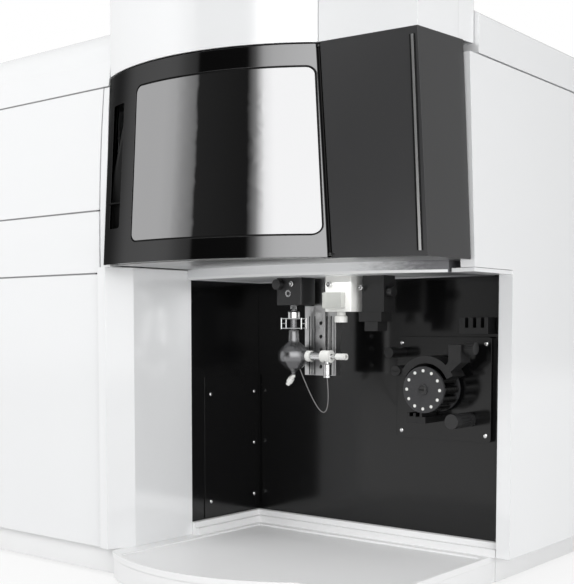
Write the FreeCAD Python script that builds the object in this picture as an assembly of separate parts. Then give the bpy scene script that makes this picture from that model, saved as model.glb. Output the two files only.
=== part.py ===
import FreeCAD, Part
import math
import os

# Bench-top optical emission spectrometer. Millimetres, +Z up, the front looks along -Y.
# Origin: middle of the footprint, on the surface that the feet stand on.

# Overall body
body_w = 990.0
half_w = body_w / 2
back_y = 427.5
front_y = -378.0
side_top_z = 800.0
roof_z = 845.0
hood_top_z = 762.0
tower_h = 143.0
tower_top_z = hood_top_z + tower_h
duct_rise = 35.0
overall_top_z = tower_top_z + duct_rise
panel_bottom_z = 46.0
seam_low_z = 465.0
seam_mid_z = 560.0
cap_seam_z = 748.0
seam_gap = 2.4
sheet = 2.0
panel_depth = 22.0
lean_start_z = 400.0
lean_radius = 2400.0
cap_shoulder = 120.0
cap_front_r = 55.0
cap_t = 3.0
cap_flange = 42.0
cap_gap = 2.0
tower_back_y = -175.0
tower_step = 1.5
tower_step_y = -211.0
tower_seam = 1.2
frame_bar = 20.0
fit_gap = 0.3

# Base
foot_r = 26.0
ledge_w = 36.0
ledge_t = 5.5
foot_h = 10.0
foot_stem_r = 8.0
plinth_bottom_z = 5.0
plinth_inset = 12.0
plinth_wall = 3.0

# Sample bay, the open corner under the hood
bay_left_x = 0.0
bay_back_y = -46.0
bay_right_x = half_w - 22.0
side_front_y = -66.0
column_x = 3.0
column_back_y = -217.0
column_edge_x = -32.0
column_front_x = -14.0
column_front_y = -384.0
column_facet_y = -342.0
column_slant = 15.0
wall_sheet = 2.0
cover_t = 1.5
cover_y0 = -185.0
cover_y1 = -52.0
cover_z0 = 68.0
cover_z1 = 302.0
screw_r = 2.0
screw_head_r = 3.4
screw_head_h = 1.8

# Tray under the bay
tray_left_x = -3.0
tray_right_x = half_w - 32.0
tray_lip = 10.0
tray_recess = 3.0
tray_apex = (half_w - 345.0, -427.5)
tray_seam = (half_w - 160.0, -368.0)
tray_corner_y = -328.0
tray_start_y = -384.0
tray_border = 30.0
rim_top_z = 66.0
rim_depth = 9.0
rim_step_z = 57.0
rim_step_depth = 17.0
tray_edge = 7.0
skirt_inset = 1.6
skirt_t = 3.0

# Hood and its door: outlines at the bottom and at the top edge
hood_bottom_z = 475.0
hood_bottom_arc_r = 399.5
hood_bottom_apex_y = -409.1
hood_bottom_arc_c = (half_w - 384.1, hood_bottom_apex_y + hood_bottom_arc_r)
hood_top_arc_r = 344.9
hood_top_apex_y = -385.2
hood_top_arc_c = (half_w - 377.7, hood_top_apex_y + hood_top_arc_r)
hood_bottom_left_x = -9.0
hood_top_left_x = -35.0
hood_bottom_seam_x = half_w - 135.0
hood_top_seam_x = half_w - 164.0
hood_bottom_corner = (half_w - 9.0, -282.0)
hood_top_corner = (half_w - 19.0, -296.0)
hood_rear_x = half_w - 4.0
hood_rear_y = -160.0
flank_low_y = -180.0
flank_high_y = -200.5
hood_skin = 4.0
door_return = 16.0
door_gap = 1.0
door_top_gap = 2.5
axis_inset = 1.0
barrel_r = 2.4
hinge_clear = 1.0
hinge_room = 13.0
barrel_start = 7.6
pin_r = 1.2
pin_clear = 0.05
pin_grip = 14.0
bracket_t = 3.2
bracket_d0 = 3.45
link_w = 6.0
link_sink = 0.6
arm_len = 42.0
arm_depth = 12.0
trim_w = 3.6
trim_low_edge = 8.0
trim_high_edge = 5.5
trim_proud = 0.8
trim_seat = 0.1
trim_z0 = 482.0
trim_z1 = 752.0
hood_back_y = -105.0
hood_floor_t = 3.0
floor_lift = 0.3
throat_r = 13.0

# Window and handle in the door, as places in the X-Z plane
win_left_top_x = 56.0
win_left_bottom_x = 63.0
win_right_top_x = half_w - 164.0
win_right_bottom_x = half_w - 143.0
win_bottom_z = 505.0
win_top_z = 731.0
win_corner_r = 13.0
gasket_w = 2.4
pane_sink = 0.6
seal_sink = 1.2
handle_x0 = -10.0
handle_x1 = 27.0
handle_z0 = 528.0
handle_z1 = 712.0

# Peristaltic pump on the bay's back wall
pump_x = half_w - 120.0
pump_z = 291.5
plate_half_w = 82.0
plate_half_h = 78.0
plate_t = 10.0
screw_off_x = 73.0
screw_off_z = 68.0
rotor_r = 34.5
rotor_front_y = -112.0
rotor_back_y = -62.0
disc_t = 5.0
roller_count = 12
roller_r = 6.5
roller_circle_r = 28.2
roller_pin_r = 2.4
roller_clear = 0.06
shoe_inner_r = 39.0
shoe_outer_r = 50.0
shoe_y0 = -105.0
shoe_y1 = -69.0
shoe_from = 25.0
shoe_to = 152.0
shoe_pin_x = pump_x - 50.6
shoe_pin_z = 318.0
shoe_pin_r = 3.0
eye_r = 8.0
plate_corner_r = 5.0
hub_r = 13.0
shaft_r = 6.0
shaft_clear = 0.05
pin_seat = 0.02
end_play = 0.3
cap_screw_r = 8.0
wheel_r = 9.5
wheel_shaft_r = 3.0
wheel_flutes = 18
knob_x = pump_x + 46.6
knob_z = 246.5
knob_r = 11.0
knob_shaft_r = 4.0
motor_r = 30.0
motor_len = 66.0
fork_x0 = pump_x + 37.0
fork_x1 = pump_x + 84.0
fork_z0 = 374.0
fork_z1 = 398.0
screw_in = 8.0

# Sample introduction, hung from the bay's ceiling
stand_y = -150.0
torch_x = half_w - 334.0
chamber_r = 25.0
chamber_z = 337.0
ceiling_z = 459.0
lamp_recess = 1.2
ceiling_left = (3.3, -225.0)
ceiling_bow = (half_w - 260.0, -240.0)
ceiling_right = (half_w - 40.0, -178.0)

# Torch, its box and the exhaust
torch_box_half = 105.0
torch_box_front_y = -292.0
torch_box_top_z = 732.0
torch_box_t = 2.0
torch_r = 10.0
torch_top_z = 640.0
stem_r = 5.0
neck_top_z = 412.0
hang_z = ceiling_z + lamp_recess
mount_z0 = 418.0
mount_knob_x = torch_x - 13.0
mount_knob_z = 450.0
small_knob_r = 8.0
rail_z0 = 308.0
rail_z1 = 417.0
rail_holes = (322.0, 348.0, 369.0, 390.0)
white_z0 = 407.0
side_z0 = 406.0
side_knob_z = 436.0
clip_wire_r = 0.9
clip_half_w = 20.0
clip_end_r = 1.2
capillary_r = 0.8
coil_r = 13.5
coil_pitch = 6.0
coil_tube_r = 1.5
coil_z = 600.0
exhaust_x = torch_x
exhaust_y = -236.0
duct_r = 52.0
duct_t = 2.0
collar_r = 60.0
collar_h = 4.0

# Rear panel and what is on it
louvre_rows = 11
louvre_z0 = 430.0
louvre_pitch = 22.0
louvre_w = 190.0
louvre_h = 5.0
fan_x = -200.0
fan_z = 250.0
fan_r = 62.0
fan_hub_r = 21.0
fan_shaft_r = 4.0
fan_depth = 24.0
inlet_x = half_w - 245.0
inlet_z = 110.0
port_x = (half_w - 165.0, half_w - 125.0, half_w - 85.0)
port_z = 240.0
port_r = 9.0
port_neck_r = 7.4
port_bore_r = 4.0
port_bore_len = 20.0
port_in = 36.0
rocker_half = 10.6
rocker_pivot = 9.0
rocker_tilt = 7.0


def box(x0, y0, z0, x1, y1, z1):
    return Part.makeBox(x1 - x0, y1 - y0, z1 - z0, FreeCAD.Vector(x0, y0, z0))


def vec(x, y, z):
    return FreeCAD.Vector(x, y, z)


def rod(p, d, r, length):
    return Part.makeCylinder(r, length, vec(*p), vec(*d))


def rod_y(x, z, y0, y1, r):
    return rod((x, y0, z), (0, 1, 0), r, y1 - y0)


def rod_z(x, y, z0, z1, r):
    return rod((x, y, z0), (0, 0, 1), r, z1 - z0)


def rod_x(y, z, x0, x1, r):
    return rod((x0, y, z), (1, 0, 0), r, x1 - x0)


def prism(points, z0, z1):
    wire = Part.makePolygon([vec(x, y, z0) for x, y in points + points[:1]])
    return Part.Face(wire).extrude(vec(0, 0, z1 - z0))


def prism_y(points, y0, y1):
    wire = Part.makePolygon([vec(x, y0, z) for x, z in points + points[:1]])
    return Part.Face(wire).extrude(vec(0, y1 - y0, 0))


def prism_x(points, x0, x1):
    wire = Part.makePolygon([vec(x0, y, z) for y, z in points + points[:1]])
    return Part.Face(wire).extrude(vec(x1 - x0, 0, 0))


def fuse(shapes):
    whole = shapes[0]
    if len(shapes) > 1:
        whole = whole.multiFuse(shapes[1:])
    return whole.removeSplitter()


def turned(profile, p, d):
    # A turned piece: profile is a list of (radius, height) from its foot up
    points = [vec(r, 0, h) for r, h in profile]
    closed = [vec(0, 0, profile[0][1])] + points + [vec(0, 0, profile[-1][1])]
    closed = [v for i, v in enumerate(closed) if i == 0 or v.distanceToPoint(closed[i - 1]) > 1e-6]
    wire = Part.makePolygon(closed + closed[:1])
    solid = Part.Face(wire).revolve(vec(0, 0, 0), vec(0, 0, 1), 360)
    turn = FreeCAD.Rotation(vec(0, 0, 1), vec(*d))
    solid.Placement = FreeCAD.Placement(vec(*p), turn)
    return solid


os.makedirs("parts", exist_ok=True)


def save(name, shapes):
    whole = shapes if not isinstance(shapes, list) else Part.makeCompound(shapes)
    solids = whole.Solids
    if len(solids) == 1:
        whole = solids[0]
    print(name, len(solids), "solids", round(whole.Volume / 1000.0, 1), "cm3", whole.isValid())
    whole.exportStep("parts/" + name + ".step")
    return whole



# Body side profile: upright to lean_start_z, then leaning back on a large radius
def front_at(z):
    rise = max(0.0, z - lean_start_z)
    return front_y + lean_radius - math.sqrt(lean_radius ** 2 - rise ** 2)


def profile_face(z0, z1, y_back, inset, x):
    # The band of the side profile between two heights, on a plane of one X
    f0, f1 = front_at(z0) + inset, front_at(z1) + inset
    edges = [Part.makeLine(vec(x, y_back, z0), vec(x, f0, z0))]
    low = max(z0, lean_start_z)
    if z0 < lean_start_z:
        edges.append(Part.makeLine(vec(x, f0, z0), vec(x, f0, min(z1, lean_start_z))))
    if z1 > lean_start_z:
        mid = (low + z1) / 2
        arc = Part.Arc(vec(x, front_at(low) + inset, low), vec(x, front_at(mid) + inset, mid), vec(x, f1, z1))
        edges.append(arc.toShape())
    edges.append(Part.makeLine(vec(x, f1, z1), vec(x, y_back, z1)))
    edges.append(Part.makeLine(vec(x, y_back, z1), vec(x, y_back, z0)))
    return Part.Face(Part.Wire(edges))


def profile_band(z0, z1, y_back, inset, x0, x1):
    return profile_face(z0, z1, y_back, inset, x0).extrude(vec(x1 - x0, 0, 0))


def column_line(z):
    # The seam between the front panels and the corner column slants with the hood
    share = max(0.0, z - seam_low_z) / (cap_seam_z - seam_low_z)
    return column_edge_x - column_slant * share


def left_of_column(z0, z1, gap):
    points = [(-half_w - 1, z0), (column_line(z0) - gap, z0)]
    if z0 < seam_low_z < z1:
        points.append((column_line(seam_low_z) - gap, seam_low_z))
    points += [(column_line(z1) - gap, z1), (-half_w - 1, z1)]
    return prism_y(points, front_y - 5, back_y)


# Front panels: folded sheets with a return all round
def front_panel(name, z0, z1):
    x0, x1 = -half_w + panel_depth + seam_gap, column_edge_x
    y_back = front_y + panel_depth + 60
    outer = profile_band(z0, z1, y_back, 0, x0, x1)
    hollow = profile_band(z0 + sheet, z1 - sheet, y_back + 1, sheet, x0 + sheet, x1 + 60)
    keep = left_of_column(z0, z1, seam_gap / 2)
    core = hollow.common(left_of_column(z0, z1, seam_gap / 2 + sheet))
    depth = profile_band(z0, z1, y_back, panel_depth, x0 - 1, x1 + 1)
    save(name, outer.common(keep).cut(core).cut(depth))


front_panel("front_panel_lower", panel_bottom_z, seam_low_z - seam_gap / 2)
front_panel("front_panel_middle", seam_low_z + seam_gap / 2, seam_mid_z - seam_gap / 2)
front_panel("front_panel_upper", seam_mid_z + seam_gap / 2, cap_seam_z - seam_gap / 2)

# Side panels
left_outer = profile_band(panel_bottom_z, cap_seam_z - seam_gap / 2, back_y - sheet, 0, -half_w,
                          -half_w + panel_depth)
left_core = profile_band(panel_bottom_z + sheet, cap_seam_z - seam_gap / 2 - sheet, back_y - 2 * sheet,
                         sheet, -half_w + sheet, -half_w + panel_depth + 1)
save("left_side_panel", left_outer.cut(left_core))


def flank_end(z):
    # Rear edge of the hood's flank, which leans forward towards the top
    share = (z - hood_bottom_z) / (hood_top_z - hood_bottom_z)
    return flank_low_y + share * (flank_high_y - flank_low_y)


side_edge = cap_seam_z - seam_gap / 2
right_points = [(side_front_y, panel_bottom_z), (back_y - sheet, panel_bottom_z), (back_y - sheet, side_edge),
                (flank_end(side_edge) + seam_gap, side_edge), (flank_end(seam_low_z) + seam_gap, seam_low_z),
                (side_front_y, seam_low_z)]
right_core_points = [(side_front_y + sheet, panel_bottom_z + sheet),
                     (back_y - 2 * sheet, panel_bottom_z + sheet),
                     (back_y - 2 * sheet, side_edge - sheet),
                     (flank_end(side_edge) + seam_gap + sheet, side_edge - sheet),
                     (flank_end(seam_low_z) + seam_gap + sheet, seam_low_z + sheet),
                     (side_front_y + sheet, seam_low_z + sheet)]
right_outer = prism_x(right_points, half_w - panel_depth, half_w)
right_core = prism_x(right_core_points, half_w - panel_depth - 1, half_w - sheet)
ledge = box(half_w - ledge_w, flank_low_y + seam_gap + 1, ceiling_z, half_w - 1, side_front_y + 1,
            ceiling_z + ledge_t)
save("right_side_panel", fuse([right_outer.cut(right_core), ledge]))

# Outlines with a bulged front: hood, tray, skirt and tower share this plan
def arc_point(c, r, x):
    return (x, c[1] - math.sqrt(r * r - (x - c[0]) ** 2))


def line_meet(p, q, a, b):
    d1 = (q[0] - p[0], q[1] - p[1])
    d2 = (b[0] - a[0], b[1] - a[1])
    k = ((a[0] - p[0]) * d2[1] - (a[1] - p[1]) * d2[0]) / (d1[0] * d2[1] - d1[1] * d2[0])
    return (p[0] + k * d1[0], p[1] + k * d1[1])


def shifted(p, q, inset):
    # The line p-q moved to its left-hand side, which is the inside of the outline
    dx, dy = q[0] - p[0], q[1] - p[1]
    size = math.hypot(dx, dy)
    nx, ny = -dy / size * inset, dx / size * inset
    return (p[0] + nx, p[1] + ny), (q[0] + nx, q[1] + ny)


def circle_line(c, r, p, q):
    # Where the line p-q meets the front half of the circle, nearest to p
    dx, dy = q[0] - p[0], q[1] - p[1]
    fx, fy = p[0] - c[0], p[1] - c[1]
    a = dx * dx + dy * dy
    b = 2 * (fx * dx + fy * dy)
    k = fx * fx + fy * fy - r * r
    root = math.sqrt(b * b - 4 * a * k)
    t = min(((-b - root) / (2 * a), (-b + root) / (2 * a)), key=abs)
    return (p[0] + t * dx, p[1] + t * dy)


def bulged_wire(plan, z, inset, y_back):
    # plan: arc centre, arc radius, left X, X of the seam with the facet, corner, rear X and Y
    c, r, left, seam_x, corner, rear = plan
    left_x = left + inset
    seam = arc_point(c, r, seam_x)
    facet = shifted(seam, corner, inset)
    flank = shifted(corner, rear, inset)
    start = arc_point(c, r - inset, left_x)
    seam_in = circle_line(c, r - inset, facet[0], facet[1])
    corner_in = line_meet(facet[0], facet[1], flank[0], flank[1])
    end = line_meet(flank[0], flank[1], (0, y_back), (1, y_back))
    middle = arc_point(c, r - inset, (start[0] + seam_in[0]) / 2)
    at = [vec(x, y, z) for x, y in (start, middle, seam_in, corner_in, end, (left_x, y_back))]
    edges = [Part.Arc(at[0], at[1], at[2]).toShape()]
    edges += [Part.makeLine(at[i], at[i + 1]) for i in range(2, 5)]
    edges.append(Part.makeLine(at[5], at[0]))
    return Part.Wire(edges)


def bulged_prism(plan, z0, z1, inset, y_back):
    return Part.Face(bulged_wire(plan, z0, inset, y_back)).extrude(vec(0, 0, z1 - z0))


hood_rear = (hood_rear_x, hood_rear_y)
hood_bottom_plan = (hood_bottom_arc_c, hood_bottom_arc_r, hood_bottom_left_x, hood_bottom_seam_x,
                    hood_bottom_corner, hood_rear)
hood_top_plan = (hood_top_arc_c, hood_top_arc_r, hood_top_left_x, hood_top_seam_x, hood_top_corner, hood_rear)


def hood_solid(inset, y_back):
    lower = bulged_wire(hood_bottom_plan, hood_bottom_z, inset, y_back)
    upper = bulged_wire(hood_top_plan, hood_top_z, inset, y_back)
    return Part.makeLoft([lower, upper], True, True)


hood_outer = hood_solid(0, hood_rear_y)
hood_inner = hood_solid(hood_skin, hood_rear_y + 1)
hood_band = hood_solid(door_return, hood_rear_y + 2)

# Hinge axis: along the slanted seam, just behind both faces
def seam_axis_point(top):
    c, r, left, seam_x, corner, rear = hood_top_plan if top else hood_bottom_plan
    facet = shifted(arc_point(c, r, seam_x), corner, axis_inset)
    return circle_line(c, r - axis_inset, facet[0], facet[1])


axis_low = vec(*seam_axis_point(False), hood_bottom_z)
axis_high = vec(*seam_axis_point(True), hood_top_z)
axis_dir = (axis_high - axis_low).normalize()
axis_len = axis_high.distanceToPoint(axis_low)
print("door axis from", axis_low, "direction", axis_dir)


def along_axis(distance):
    return axis_low + axis_dir * distance


def axis_rod(d0, d1, r):
    return Part.makeCylinder(r, d1 - d0, along_axis(d0), axis_dir)


slope_x = (axis_high.x - axis_low.x) / (hood_top_z - hood_bottom_z)
far_z = 60.0
axis_plane = [(axis_low.x - far_z * slope_x, hood_bottom_z - far_z),
              (axis_high.x + far_z * slope_x, hood_top_z + far_z)]
door_side = prism_y([(-200, hood_bottom_z - far_z)] + axis_plane + [(-200, hood_top_z + far_z)], -500, 100)
door_z0 = hood_bottom_z + door_gap
door_z1 = hood_top_z - door_top_gap
door_slab = box(-100, -500, door_z0, 500, 0, door_z1)

# Door: curved skin with returns at its edges and a hinge barrel
skin = hood_outer.cut(hood_inner)
left_low_y = arc_point(hood_bottom_arc_c, hood_bottom_arc_r, hood_bottom_left_x)[1] + door_return
left_high_y = arc_point(hood_top_arc_c, hood_top_arc_r, hood_top_left_x)[1] + door_return
left_room = prism_x([(left_low_y, hood_bottom_z), (0, hood_bottom_z), (0, hood_top_z),
                     (left_high_y, hood_top_z)],
                    hood_top_left_x - 20, hood_bottom_left_x + 20)
door_skin = skin.common(door_side).common(door_slab).cut(left_room)
returns = hood_outer.cut(hood_band).common(door_side).cut(left_room)
low_return = returns.common(box(-100, -500, door_z0, 500, 0, door_z0 + sheet + 1))
high_return = returns.common(box(-100, -500, door_z1 - sheet - 1, 500, 0, door_z1))
edge_left = prism_y([(hood_bottom_left_x - 1, hood_bottom_z), (hood_bottom_left_x + sheet + 1, hood_bottom_z),
                     (hood_top_left_x + sheet + 1, hood_top_z), (hood_top_left_x - 1, hood_top_z)], -500, 0)
left_return = returns.common(edge_left).common(door_slab)
barrel = axis_rod(barrel_start, axis_len - barrel_start, barrel_r)
clear_r = barrel_r + hinge_clear
end_room = [axis_rod(-10, barrel_start, clear_r), axis_rod(axis_len - barrel_start, axis_len + 10, clear_r)]
bores = [axis_rod(barrel_start - 1, barrel_start + pin_grip, pin_r + pin_clear),
         axis_rod(axis_len - barrel_start - pin_grip, axis_len - barrel_start + 1, pin_r + pin_clear)]


def rounded_outline(points, r, y0, y1):
    # A polygon in the X-Z plane with rounded corners, run along Y
    edges = []
    count = len(points)
    rounds = []
    for i, (x, z) in enumerate(points):
        px, pz = points[i - 1]
        nx, nz = points[(i + 1) % count]
        a = vec(px - x, 0, pz - z).normalize()
        b = vec(nx - x, 0, nz - z).normalize()
        half = math.acos(a.dot(b)) / 2
        here = vec(x, y0, z)
        middle = (a + b).normalize()
        reach = r / math.tan(half)
        rounds.append((here + a * reach, here + middle * (r / math.sin(half) - r), here + b * reach))
    for i, (start, middle, end) in enumerate(rounds):
        edges.append(Part.Arc(start, middle, end).toShape())
        edges.append(Part.makeLine(end, rounds[(i + 1) % count][0]))
    return Part.Face(Part.Wire(edges)).extrude(vec(0, y1 - y0, 0))


def window_prism(inset):
    points = [(win_left_bottom_x + inset, win_bottom_z + inset),
              (win_right_bottom_x - inset, win_bottom_z + inset),
              (win_right_top_x - inset, win_top_z - inset), (win_left_top_x + inset, win_top_z - inset)]
    return rounded_outline(points, win_corner_r - inset, -500, -200)


handle_points = [(handle_x0 + 12, handle_z0), (handle_x1 + 4, handle_z0), (handle_x1 - 2, handle_z1),
                 (handle_x0, handle_z1)]
handle_opening = rounded_outline(handle_points, 4, -500, -200)
door = fuse([door_skin.cut(window_prism(0)).cut(handle_opening), low_return, high_return, left_return])
arm_space = [axis_rod(-10, barrel_start, hinge_room), axis_rod(axis_len - barrel_start, axis_len + 10,
                                                               hinge_room)]
for cutter in arm_space:
    door = door.cut(cutter.common(hood_inner))
for cutter in end_room:
    door = door.cut(cutter)
door = fuse([door, barrel])
for cutter in bores:
    door = door.cut(cutter)
door = max(door.Solids, key=lambda piece: piece.Volume)
save("door_shell", door)

# Window: a tinted pane in a thin seal
pane_outer = hood_solid(pane_sink, hood_rear_y)
pane_band = pane_outer.cut(hood_inner)
save("door_window", pane_band.common(window_prism(gasket_w)))
seal_band = hood_solid(seal_sink, hood_rear_y).cut(hood_inner)
seal = seal_band.common(window_prism(0)).cut(window_prism(gasket_w)).cut(door)
save("door_window_seal", max(seal.Solids, key=lambda piece: piece.Volume))

# Handle cup behind the slot at the door's free edge
cup_wall = 2.0
cup_y = front_y + 4
cup_outer = box(handle_x0 - 6, -500, handle_z0 - cup_wall, handle_x1 + 8, cup_y, handle_z1 + cup_wall)
cup_outer = cup_outer.common(hood_inner)
cup_hollow = rounded_outline(handle_points, 4, -500, cup_y - cup_wall)
divider_z = handle_z0 + 37
cup = cup_outer.cut(cup_hollow).cut(edge_left).cut(door)
cup_divider = box(handle_x0 + 4, cup_y - 12, divider_z, handle_x1, cup_y - cup_wall, divider_z + cup_wall)
cup = fuse([max(cup.Solids, key=lambda piece: piece.Volume), cup_divider.cut(door)])
save("door_handle_cup", cup)

# Fixed part of the hood: the flat facet beside the door and the flank
clear_rod = axis_rod(-20, axis_len + 20, clear_r)
fixed_side = box(0, -500, hood_bottom_z, 520, 0, hood_top_z).cut(door_side)
behind_flank = prism_x([(flank_end(hood_bottom_z - 1), hood_bottom_z - 1), (0, hood_bottom_z - 1),
                        (0, hood_top_z + 1),
                        (flank_end(hood_top_z + 1), hood_top_z + 1)], hood_bottom_seam_x, half_w)
hood_fixed = skin.common(fixed_side).cut(clear_rod).cut(behind_flank)
brackets = []
for d0 in (bracket_d0, axis_len - bracket_d0 - bracket_t):
    leg = axis_rod(d0, d0 + bracket_t, barrel_r)
    x, y, z = along_axis(d0)
    link = box(x, y + link_sink, z, x + link_w, y + arm_depth, z + bracket_t)
    arm = box(x + link_w / 2, y, z, x + arm_len, y + arm_depth, z + bracket_t).common(hood_inner)
    link_room = box(x, y + link_sink - fit_gap, z - fit_gap, x + link_w + fit_gap, y + arm_depth,
                    z + bracket_t + fit_gap)
    hood_fixed = hood_fixed.cut(link_room)
    brackets.append(fuse([leg, link, arm]))
hood_fixed = max(hood_fixed.Solids, key=lambda piece: piece.Volume)
save("hood_facet", hood_fixed)
pins = [axis_rod(bracket_d0 + bracket_t, barrel_start + pin_grip - 1, pin_r),
        axis_rod(axis_len - barrel_start - pin_grip + 1, axis_len - bracket_d0 - bracket_t, pin_r)]
save("door_hinges", [bracket.fuse(pin) for bracket, pin in zip(brackets, pins)])

# Bright strip let into the facet beside its corner
trim_outer = hood_solid(-trim_proud, hood_rear_y).cut(hood_solid(-trim_seat, hood_rear_y))
trim_low_x = hood_bottom_corner[0] - trim_low_edge
trim_high_x = hood_top_corner[0] - trim_high_edge
trim_shape = prism_y([(trim_low_x - trim_w, trim_z0), (trim_low_x, trim_z0), (trim_high_x, trim_z1),
                      (trim_high_x - trim_w, trim_z1)], -500, -250)
save("hood_trim", trim_outer.common(trim_shape))

# Floor of the hood: reaches the facet, and clears the returns of the door
throat = rod_z(torch_x, stand_y, 300, 800, throat_r)
floor_slab = box(-100, -500, hood_bottom_z + floor_lift, 520, 0, hood_bottom_z + floor_lift + hood_floor_t)
floor_wide = hood_solid(hood_skin + fit_gap, hood_back_y).cut(door_side)
floor_narrow = hood_solid(door_return + door_gap, hood_back_y).common(door_side)
side_room = box(half_w - panel_depth - fit_gap, flank_low_y, hood_bottom_z, half_w, 0, hood_bottom_z + 10)
hood_floor = floor_wide.fuse(floor_narrow).cut(axis_rod(-20, 40, hinge_room))
hood_floor = hood_floor.common(floor_slab).cut(throat).cut(side_room)
save("hood_floor", max(fuse(hood_floor.Solids).Solids, key=lambda piece: piece.Volume))

# Ceiling of the bay: a shallow tray that holds the lamp, with a bowed front edge
def bowed_plate(z0, z1, inset):
    a, m, b = [vec(p[0], p[1] + inset, z0) for p in (ceiling_left, ceiling_bow, ceiling_right)]
    a.x, b.x = a.x + inset, b.x - inset
    back = bay_back_y - inset
    corners = [vec(b.x, back, z0), vec(a.x, back, z0)]
    edges = [Part.Arc(a, m, b).toShape(), Part.makeLine(b, corners[0]), Part.makeLine(corners[0], corners[1]),
             Part.makeLine(corners[1], a)]
    return Part.Face(Part.Wire(edges)).extrude(vec(0, 0, z1 - z0))


ceiling_top = hood_bottom_z + floor_lift
ceiling = bowed_plate(ceiling_z, ceiling_top, 0).cut(bowed_plate(ceiling_z + 3, ceiling_top - 3,
                                                                 4)).cut(throat)
save("bay_ceiling", ceiling.cut(bowed_plate(ceiling_z - 1, hang_z, 14)).cut(throat))

# Corner column: chamfered front at the bay, and above it the slanted strip beside the hood
column_points = [(column_edge_x + seam_gap / 2, front_y), (column_edge_x + seam_gap / 2, column_front_y),
                 (column_front_x, column_front_y), (column_x, column_facet_y), (column_x, column_back_y),
                 (-wall_sheet, column_back_y), (-wall_sheet, column_back_y + 20),
                 (column_edge_x + seam_gap / 2, column_back_y + 20)]
column_inner = [(column_edge_x + seam_gap / 2 + sheet, front_y),
                (column_edge_x + seam_gap / 2 + sheet, column_front_y + sheet),
                (column_front_x - 1, column_front_y + sheet), (column_x - sheet, column_facet_y + 0.4),
                (column_x - sheet, column_back_y - sheet), (-wall_sheet - sheet, column_back_y - sheet),
                (-wall_sheet - sheet, column_back_y + 20 - sheet),
                (column_edge_x + seam_gap / 2 + sheet, column_back_y + 20 - sheet)]
column_top = hood_bottom_z - door_gap
column = prism(column_points, panel_bottom_z, column_top).cut(prism(column_inner, panel_bottom_z - 1,
                                                                    column_top - sheet))
strip_top = cap_seam_z - seam_gap / 2
strip_line = [(column_edge_x + seam_gap / 2, column_top)]
strip_line += [(column_line(strip_top) + seam_gap / 2, strip_top)]


def hood_left(z):
    share = (z - hood_bottom_z) / (hood_top_z - hood_bottom_z)
    return hood_bottom_left_x + share * (hood_top_left_x - hood_bottom_left_x)


strip_line += [(hood_left(strip_top) - door_gap, strip_top), (hood_left(column_top) - door_gap, column_top)]
strip_keep = prism_y(strip_line, -500, back_y)
strip = profile_band(column_top, strip_top, front_y + 60, 0, -60, 10)
strip = strip.cut(profile_band(column_top - 1, strip_top + 1, front_y + 61, panel_depth, -61, 11))
save("corner_column", fuse([column, strip.common(strip_keep)]))

# Walls of the bay
left_wall = box(-wall_sheet, column_back_y, panel_bottom_z, bay_left_x, bay_back_y, hood_bottom_z - 1)
save("bay_left_wall", left_wall)
cover = box(bay_left_x, cover_y0, cover_z0, bay_left_x + cover_t, cover_y1, cover_z1)
cover_screws = [(cover_y0 + 15, cover_z1 - 29), (cover_y0 + 15, cover_z0 + 26), (cover_y1 - 8, cover_z1 - 29),
                (cover_y1 - 8, cover_z1 - 118), (cover_y1 - 8, cover_z0 + 26)]
for y, z in cover_screws:
    cover = cover.cut(rod_x(y, z, bay_left_x - 1, bay_left_x + cover_t + 1, screw_r))
save("bay_wall_cover", cover)
back_wall = box(bay_left_x, bay_back_y, panel_bottom_z, bay_right_x, bay_back_y + wall_sheet,
                hood_bottom_z - 1)
back_wall = back_wall.cut(rod_y(pump_x, pump_z, bay_back_y - 1, bay_back_y + wall_sheet + 1, motor_r + 1))
edge_bead = box(bay_right_x - 13, bay_back_y - 1.5, rim_top_z, bay_right_x - 7, bay_back_y, ceiling_z)
save("bay_back_wall", fuse([back_wall, edge_bead]))

# Tray with its upstand along the two walls
def circle_of(p, q, s):
    ax, ay = q[0] - p[0], q[1] - p[1]
    bx, by = s[0] - p[0], s[1] - p[1]
    d = 2 * (ax * by - ay * bx)
    ux = (by * (ax * ax + ay * ay) - ay * (bx * bx + by * by)) / d
    uy = (ax * (bx * bx + by * by) - bx * (ax * ax + ay * ay)) / d
    return (p[0] + ux, p[1] + uy), math.hypot(ux, uy)


tray_c, tray_r = circle_of((tray_left_x, tray_start_y), tray_apex, tray_seam)
tray_plan = (tray_c, tray_r, tray_left_x, tray_seam[0], (tray_right_x, tray_corner_y),
             (tray_right_x, bay_back_y))
tray_back_y = bay_back_y - fit_gap
tray = bulged_prism(tray_plan, panel_bottom_z - tray_lip, panel_bottom_z, 0, tray_back_y)
pocket_plan = (tray_c, tray_r, tray_left_x + tray_border - tray_edge, tray_seam[0],
               (tray_right_x, tray_corner_y),
               (tray_right_x, bay_back_y))
pocket = bulged_prism(pocket_plan, panel_bottom_z - tray_recess, panel_bottom_z + 1, tray_edge,
                      tray_back_y - tray_border)
tray = tray.cut(pocket)
rim_right = bay_right_x - 2
rim = [box(bay_left_x + fit_gap, tray_back_y - rim_step_depth, panel_bottom_z - 1, rim_right, tray_back_y,
           rim_step_z),
       box(bay_left_x + fit_gap, tray_back_y - rim_depth, panel_bottom_z - 1, rim_right, tray_back_y,
           rim_top_z),
       box(bay_left_x + fit_gap, column_back_y + fit_gap, panel_bottom_z - 1, rim_step_depth, tray_back_y,
           rim_step_z),
       box(bay_left_x + fit_gap, column_back_y + fit_gap, panel_bottom_z - 1, rim_depth, tray_back_y,
           rim_top_z)]
save("tray", fuse([tray] + rim))
skirt_outer = bulged_prism(tray_plan, plinth_bottom_z, panel_bottom_z - tray_lip, skirt_inset, tray_back_y)
skirt_inner = bulged_prism(tray_plan, plinth_bottom_z - 1, panel_bottom_z - tray_lip - skirt_t,
                           skirt_inset + skirt_t,
                           tray_back_y - skirt_t)
save("tray_skirt", skirt_outer.cut(skirt_inner))

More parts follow.
